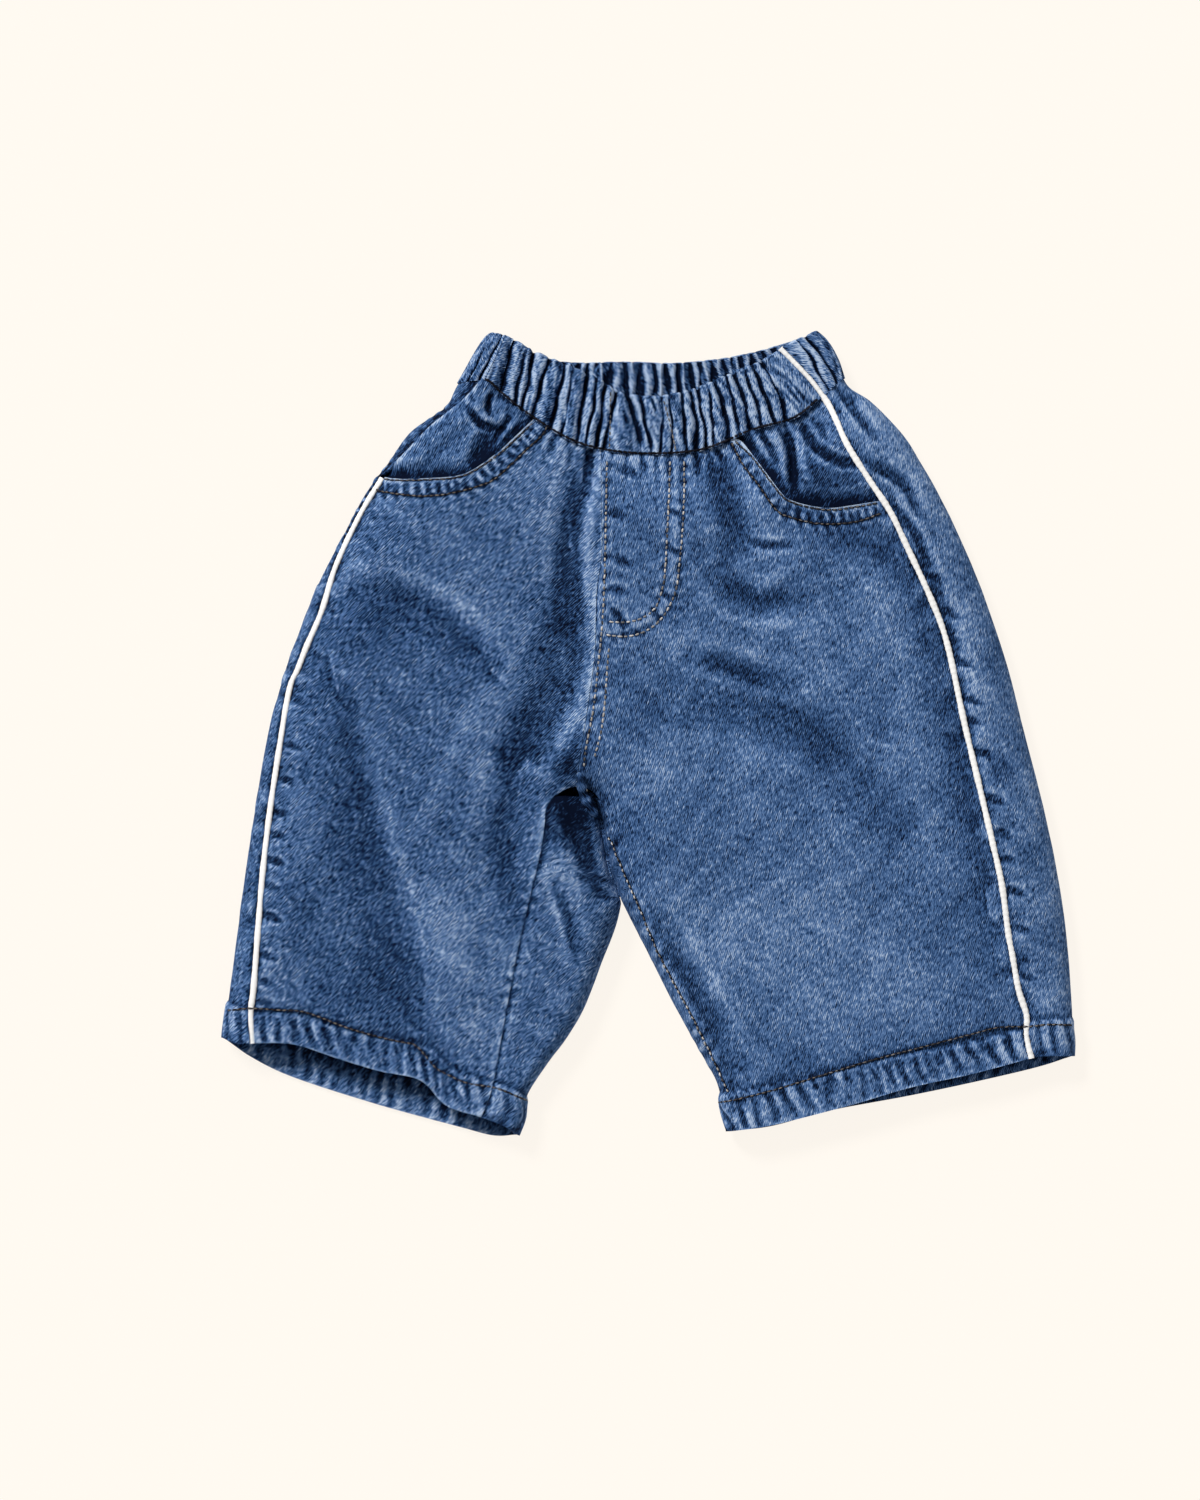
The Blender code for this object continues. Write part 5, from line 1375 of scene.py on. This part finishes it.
# Edges that rub pale, channels that stay dark, and painted shadow in the gaps beside the
# piping and along the left leg's inner edge: line, strength, reach.
WORN_AND_SHADED_EDGES = [
    (pocket_right, 3.2, 2.5), (pocket_left, 3.2, 2.5), (centre_front, 1.0, 1.4),
    (hem_right, 1.2, 1.6), (hem_left, 1.2, 1.6), (inseam_right, 0.8, 1.3),
    (inseam_left, 0.6, 1.2), (band_seam, 0.5, 2.5), (hem_right_stitch, -1.2, 1.3),
    (hem_left_stitch, -1.2, 1.3), (pocket_right_far, -1.6, 1.2),
    (pocket_left_far, -1.6, 1.2), (fly_inner, -0.9, 1.0), (fly_outer, -0.9, 1.0),
    (centre_near, -0.9, 0.9), (inseam_right_near, 1.0, 1.6),
    (beside(side_right, PIPING_ROOM), -1.6, 1.1),
    (beside(side_left, -PIPING_ROOM), -2.0, 1.2), (beside(inner_left, 4.0), -1.0, 5.0),
]
# Painted shadow in the gaps beside the piping and the pleat, beside the right inseam and
# under the hems' front edges, with a few pale worn rims: line, strength, reach.
BACK_EDGES = [
    (beside(side_right, -PIPING_ROOM), -3.2, 1.6),
    (beside(side_left, PIPING_ROOM), -2.0, 1.3), (beside(pleat, -2.0), -3.0, 1.8),
    (inseam_right, -2.4, 1.4), (inner_right, 0.5, 2.0), (hem_right, -1.8, 3.4),
    (hem_left, -1.8, 3.0), (hem_right_back, 0.9, 2.2),
]
# Painted shadow under the pockets' edges and along the waist seam, and a pale rim at the
# pleat: line, strength, reach.
FACING_EDGES = [(pleat, 2.2, 1.4), (pocket_right, -4.5, 3.2), (pocket_left, -5.0, 3.6),
                (band_seam, -1.2, 2.2)]
# Broad places of the wash, of painted light and of painted shade, such as the painted
# shadow at the crotch and beside the fly: x, y, reach, strength.
WASH_AND_SHADE = [
    (6.7, -21.0, 24.0, 0.35), (24.0, -128.0, 26.0, 0.55), (99.5, 31.0, 16.0, 0.40),
    (123.0, 66.0, 22.0, 0.45), (76.0, 116.0, 9.0, 0.45), (62.0, 142.0, 7.0, 0.3),
    (80.0, -120.0, 50.0, 0.50), (130.0, -150.0, 38.0, 0.35), (-2.0, 12.0, 20.0, -0.30),
    (-175.0, 30.0, 36.0, -0.40), (-172.0, -40.0, 36.0, -0.40), (-178.0, -90.0, 30.0, -0.3),
    (-165.0, -145.0, 34.0, -0.45), (-112.0, -115.0, 22.0, 0.40),
    (-84.0, -168.0, 26.0, 0.45), (-70.0, -130.0, 14.0, 0.35), (-44.0, -18.0, 9.0, -1.3),
    (-34.0, 160.0, 6.0, -1.6),
    (-95.0, 125.0, 30.0, 0.10), (20.0, 52.0, 16.0, 0.45), (-12.0, 80.0, 18.0, 0.15),
    (60.0, 50.0, 14.0, 0.30),
]
# Painted shadow in the crotch hollow, painted light along the left back panel's outer
# strip, and painted shade at the right leg's outer edge: x, y, reach, strength.
BACK_WASH_AND_SHADE = [
    (-46.0, -36.0, 11.0, -2.6), (-34.0, -44.0, 11.0, -2.2), (-40.0, -56.0, 13.0, -0.7),
    (-28.0, -66.0, 10.0, -0.6), (-22.0, -84.0, 7.0, -0.6), (-52.0, -49.0, 11.0, -1.5),
    (-50.0, -38.0, 8.0, -1.6), (-54.0, -62.0, 12.0, -1.3),
    (130.0, 182.0, 18.0, 0.6), (155.0, 152.0, 18.0, 0.6), (178.0, 116.0, 18.0, 0.5),
    (197.0, 72.0, 16.0, 0.5), (214.0, 20.0, 16.0, 0.5), (226.0, -30.0, 16.0, 0.5),
    (236.0, -90.0, 18.0, 0.5), (237.0, -150.0, 18.0, 0.3), (-236.0, -100.0, 26.0, -0.3),
]
# Painted shade in the hollows of the facings: x, y, reach, strength.
FACING_WASH_AND_SHADE = [(-97.0, 160.0, 8.0, -1.6), (85.0, 150.0, 6.0, -1.4),
               (-135.0, 150.0, 12.0, -0.4), (100.0, 140.0, 12.0, -0.9)]
# Short creases that leave a seam: y on the seam, reach from it, drop, depth.
PUCKER_START = 3.0
RIGHT_PUCKERS = [(46, 7, -2, 0.6), (20, 8, -3, 0.9), (-6, 6, -2, 1.4),
                 (-26, 7, -2, 1.7), (-46, 6, -1, 1.4), (-58, 5, -1, 1.1),
                 (-73, 7, -2, 1.6), (-88, 5, -2, 1.2), (-105, 8, -3, 1.6),
                 (-128, 7, -2, 1.5), (-143, 6, -2, 1.2), (-155, 6, -1, 1.3)]
LEFT_PUCKERS = [(92, 9, -3, 1.3), (72, 11, -5, 1.5), (42, 8, -3, 1.7), (21, 9, -4, 1.6),
                (8, 6, -2, 1.2), (-10, 8, -3, 1.6), (-36.5, 8, -3, 1.7),
                (-57, 7, -2, 1.4), (-72, 7, -2, 1.2), (-90, 8, -3, 1.6),
                (-112, 8, -2, 1.3), (-140, 6, -2, 1.0)]


def puckers(name, line, table):
    """Short creases from a seam into the cloth at its left."""
    made = []
    for y, reach, drop, depth in table:
        x = np.interp(-y, -line[:, 1], line[:, 0])
        route = [(x + (PUCKER_START + out * reach), y + down * drop)
                 for out, down in ((0.0, 0.0), (0.5, 0.35), (1.0, 1.0))]
        made.append((name, route, depth, 3.2, 3.8))
    return made


CREASES = puckers("right side pucker", side_right, RIGHT_PUCKERS)
CREASES += puckers("left side pucker", side_left, LEFT_PUCKERS)
CREASES += [
    ("fly", [(-17, 154), (-7, 150)], 1.4, 4, 5),
    ("fly", [(-23, 129), (-15, 126)], 1.2, 5, 5),
    ("fly", [(-20, 102), (-11, 99)], 1.0, 5, 5),
    ("fly", [(-21, 84), (-13, 82)], 1.0, 5, 5),
    ("fly foot", [(-20, 71), (-12, 60)], 1.4, 4, 4),
    ("fly foot", [(2, 72), (7, 65)], 1.3, 3, 3),
    ("fly foot", [(8, 82), (14, 77)], 1.3, 3, 3),
    ("fly side", [(11, 108), (18, 104)], 1.1, 3, 3),
    ("fly side", [(12, 130), (19, 126)], 1.0, 3, 3),
    ("left hip", [(127, 156), (145, 146), (156, 127)], 1.4, 4, 8),
    ("left hip", [(140, 134), (152, 118), (162, 98)], 1.6, 4, 6),
    ("left corner", [(107, 203), (117, 190), (130, 172)], 1.6, 4, 6),
    ("left corner", [(115, 200), (121, 192)], 1.2, 3, 3),
    ("under the band", [(-3, 160), (-2, 152)], 1.3, 3, 4),
    ("under the band", [(11, 160), (12, 151)], 1.0, 3, 3),
    ("under the band", [(29, 163), (28, 152)], 1.8, 4, 4),
    ("under the band", [(-55, 172), (-57, 163)], 1.4, 3, 4),
    ("under the band", [(-45, 168), (-46, 158)], 1.2, 3, 3),
    ("pocket corner", [(38, 166), (44, 158)], 1.2, 3, 3),
]


def build_cloth():
    """Every piece that stands for a part of the CAD, by the name of its node.

    Also gives the front casing's surface, for its stitches, and the facings' denim.
    """
    right_cloth = denim("denim_right", -0.80, contrast=0.92)
    left_cloth = denim("denim_left", -0.30, contrast=0.82)
    facing_cloth = denim("denim_facing", -0.5, -0.03, contrast=0.8)
    band_cloth = denim("denim_band", -0.8, 0.03, 0.46, patches=1.0)
    cord_cloth = piping_cloth()

    made = {}
    front_x = CENTRE_FRONT[0][0]
    made["right_front_panel"] = front_panel(
        "right_front", beside(side_right, PIPING_ROOM),
        beside(join(centre_front, inseam_right, 0.5), -HALF_GAP),
        join(pocket_right, between(band_seam, 0, POCKET_RIGHT[-1][0], front_x), 0.74),
        between(hem_right, 0, SIDE_RIGHT[-1][0], INSEAM_RIGHT[-1][0]), right_cloth)
    below_pocket = between(side_left, 1, POCKET_LEFT[-1][1], SIDE_LEFT[-1][1])
    made["left_front_panel"] = front_panel(
        "left_front", beside(join(centre_front, inseam_left, 0.5), HALF_GAP),
        beside(below_pocket, -PIPING_ROOM),
        join(between(band_seam, 0, front_x, POCKET_LEFT[0][0]), pocket_left, 0.42),
        between(hem_left, 0, INSEAM_LEFT[-1][0], SIDE_LEFT[-1][0]), left_cloth)

    no_bend = np.zeros((2, 2))
    under_pleat = join(curve(UNDER_PLEAT), beside(side_right, -PIPING_ROOM), 0.15)
    for node, outer, side_edge, inner, inseam, hem, hem_back, seam_end, hand, cloth in (
            ("right_back_panel", outer_right, under_pleat, inner_right, inseam_right,
             hem_right, hem_right_back, BAND_SEAM[0], -1.0, right_cloth),
            ("left_back_panel", outer_left, beside(side_left, PIPING_ROOM), inner_left,
             inseam_left, hem_left, hem_left_back[::-1], BAND_SEAM[-1], 1.0, left_cloth)):
        side = side_right if hand < 0 else side_left
        edge = between(outer, 1, seam_end[1], outer[-1, 1])
        inside = beside(join(centre_back, inner, 0.5), hand * HALF_GAP)
        up_to = reach_up(inside, beside(inseam, -hand * HALF_GAP))
        made[node] = back_panel(
            node.replace("_panel", ""),
            ((side_edge, edge, between(band_seam, 0, side_edge[0, 0], seam_end[0]),
              between(hem, 0, side[-1, 0], outer[-1, 0])),
             (edge, inside, between(back_seam, 0, seam_end[0], CENTRE_BACK[0][0]),
              hem_back),
             (inside, up_to, no_bend, between(hem, 0, inner[-1, 0], inseam[-1, 0]))),
            hand, cloth)

    base, way, height, around = band = front_band()
    made["front_waist_casing"] = casing(
        "front_band", base, way, height, np.full_like(height, BAND_WALL), around,
        band_cloth)
    made["back_waist_casing"] = back_casing(band_cloth)
    made["right_pocket_facing"] = facing(
        "right_facing", curve(FACING_RIGHT_SIDE), curve(FACING_RIGHT_MOUTH),
        between(band_seam, 0, FACING_RIGHT_SIDE[0][0], FACING_RIGHT_MOUTH[0][0]),
        curve(FACING_RIGHT_FOOT), RIGHT_FACING_FOLDS, facing_cloth)
    at_pocket = between(side_left, 1, SIDE_LEFT[0][1], FACING_LEFT_FOOT[-1][1])
    made["left_pocket_facing"] = facing(
        "left_facing", curve(FACING_LEFT_MOUTH), beside(at_pocket, -PIPING_ROOM),
        between(band_seam, 0, FACING_LEFT_MOUTH[0][0], SIDE_LEFT[0][0]),
        curve(FACING_LEFT_FOOT), LEFT_FACING_FOLDS, facing_cloth)
    made["right_side_piping"] = piping(
        "right_cord", between(side_right, 1, CORD_TOP_Y, SIDE_RIGHT[-1][1]),
        RIGHT_CORD_RINGS, cord_cloth)
    made["left_side_piping"] = piping(
        "left_cord", curve(BAND_SIDE_LEFT[:-1] + SIDE_LEFT), LEFT_CORD_RINGS, cord_cloth)
    return made, band, facing_cloth


def build_stitches(band):
    """The rows of thread; their order sets what each stitch draws at random."""
    fine, heavy = [], []
    pale = [stitch_row(*on_front(line), thick=1.0) for line in (
        fly_inner, fly_outer, centre_near, centre_far)]
    for line, rows, thick, lift in (
            (pocket_right_far, fine, 0.7, 0.45), (pocket_left_far, fine, 0.7, 0.45),
            (pocket_right_near, fine, 0.6, 0.35), (pocket_left_near, fine, 0.6, 0.35),
            (hem_left_stitch, fine, 0.7, 1.2), (hem_right_stitch, fine, 0.7, 1.2),
            (inseam_right_near, pale, 1.0, 0.1)):
        under, over = double_row(line, thick, lift)
        heavy.append(under)
        rows.append(over)
    base, way, height, _ = band
    surface = beyond(base[:-1], way[:-1], height + 0.25)
    # The thick row along the waist seam.
    heavy.append(stitch_row(surface[1], way[1], 3.0, 3.1, 1.5))
    for place in BAND_STITCHES:
        column = np.argmin(abs(base[len(base) // 2, :, 0] - place))
        fine.append(stitch_row(surface[2:, column], way[2:-1, column]))
    return [thread(name, rows, thread_colour(colour, dark, light))
            for name, rows, colour, dark, light in (
                ("topstitching", fine, "dark_thread", (0.02, 0.019, 0.02),
                 (0.23, 0.21, 0.195)),
                ("edge_stitching", pale, "pale_thread", (0.03, 0.03, 0.035),
                 (0.66, 0.63, 0.60)),
                ("waist_stitching", heavy, "black_thread", (0.002, 0.002, 0.004),
                 (0.02, 0.02, 0.03)))]


def main():
    """The pieces, what they stand for, what they ride on and what they are made of."""
    made, band, facing_cloth = build_cloth()
    for node, piece in made.items():
        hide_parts(node)
        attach(piece, "root")
        "piping" if "piping" in node else "denim"
    for piece in (*build_stitches(band), crotch_seam(facing_cloth)):
        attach(piece, "root")


def stage():
    """Pale floor, soft light from the upper left and the camera straight above."""
    def placed(name, data):
        made = bpy.data.objects.new(name, data)
        bpy.context.scene.collection.objects.link(made)
        return made

    half, low = FLOOR_HALF, FLOOR_Z
    mesh = bpy.data.meshes.new("floor")
    mesh.from_pydata([(-half, -half, low), (half, -half, low), (half, half, low),
                      (-half, half, low)], [], [(0, 1, 2, 3)])
    mesh.materials.append(floor_cloth())
    floor = placed("floor", mesh)

    world = bpy.data.worlds.new("studio")
    world.use_nodes = True
    sky = world.node_tree.nodes["Background"].inputs
    sky["Color"].default_value = (1.0, 0.98, 0.95, 1)
    sky["Strength"].default_value = 0.42
    bpy.context.scene.world = world
    light = bpy.data.lights.new("key", "SUN")
    light.energy = 2.9
    light.angle = math.radians(14.0)
    lamp = placed("key", light)
    lamp.rotation_euler = [math.radians(angle) for angle in SUN_TURN]

    lens = bpy.data.cameras.new("camera")
    lens.lens = LENS
    lens.sensor_width = 36.0
    lens.clip_end = 30.0
    camera = placed("camera", lens)
    camera.location = CAMERA_PLACE
    bpy.context.scene.camera = camera
    bpy.context.scene.view_settings.view_transform = "Standard"


main()
stage()
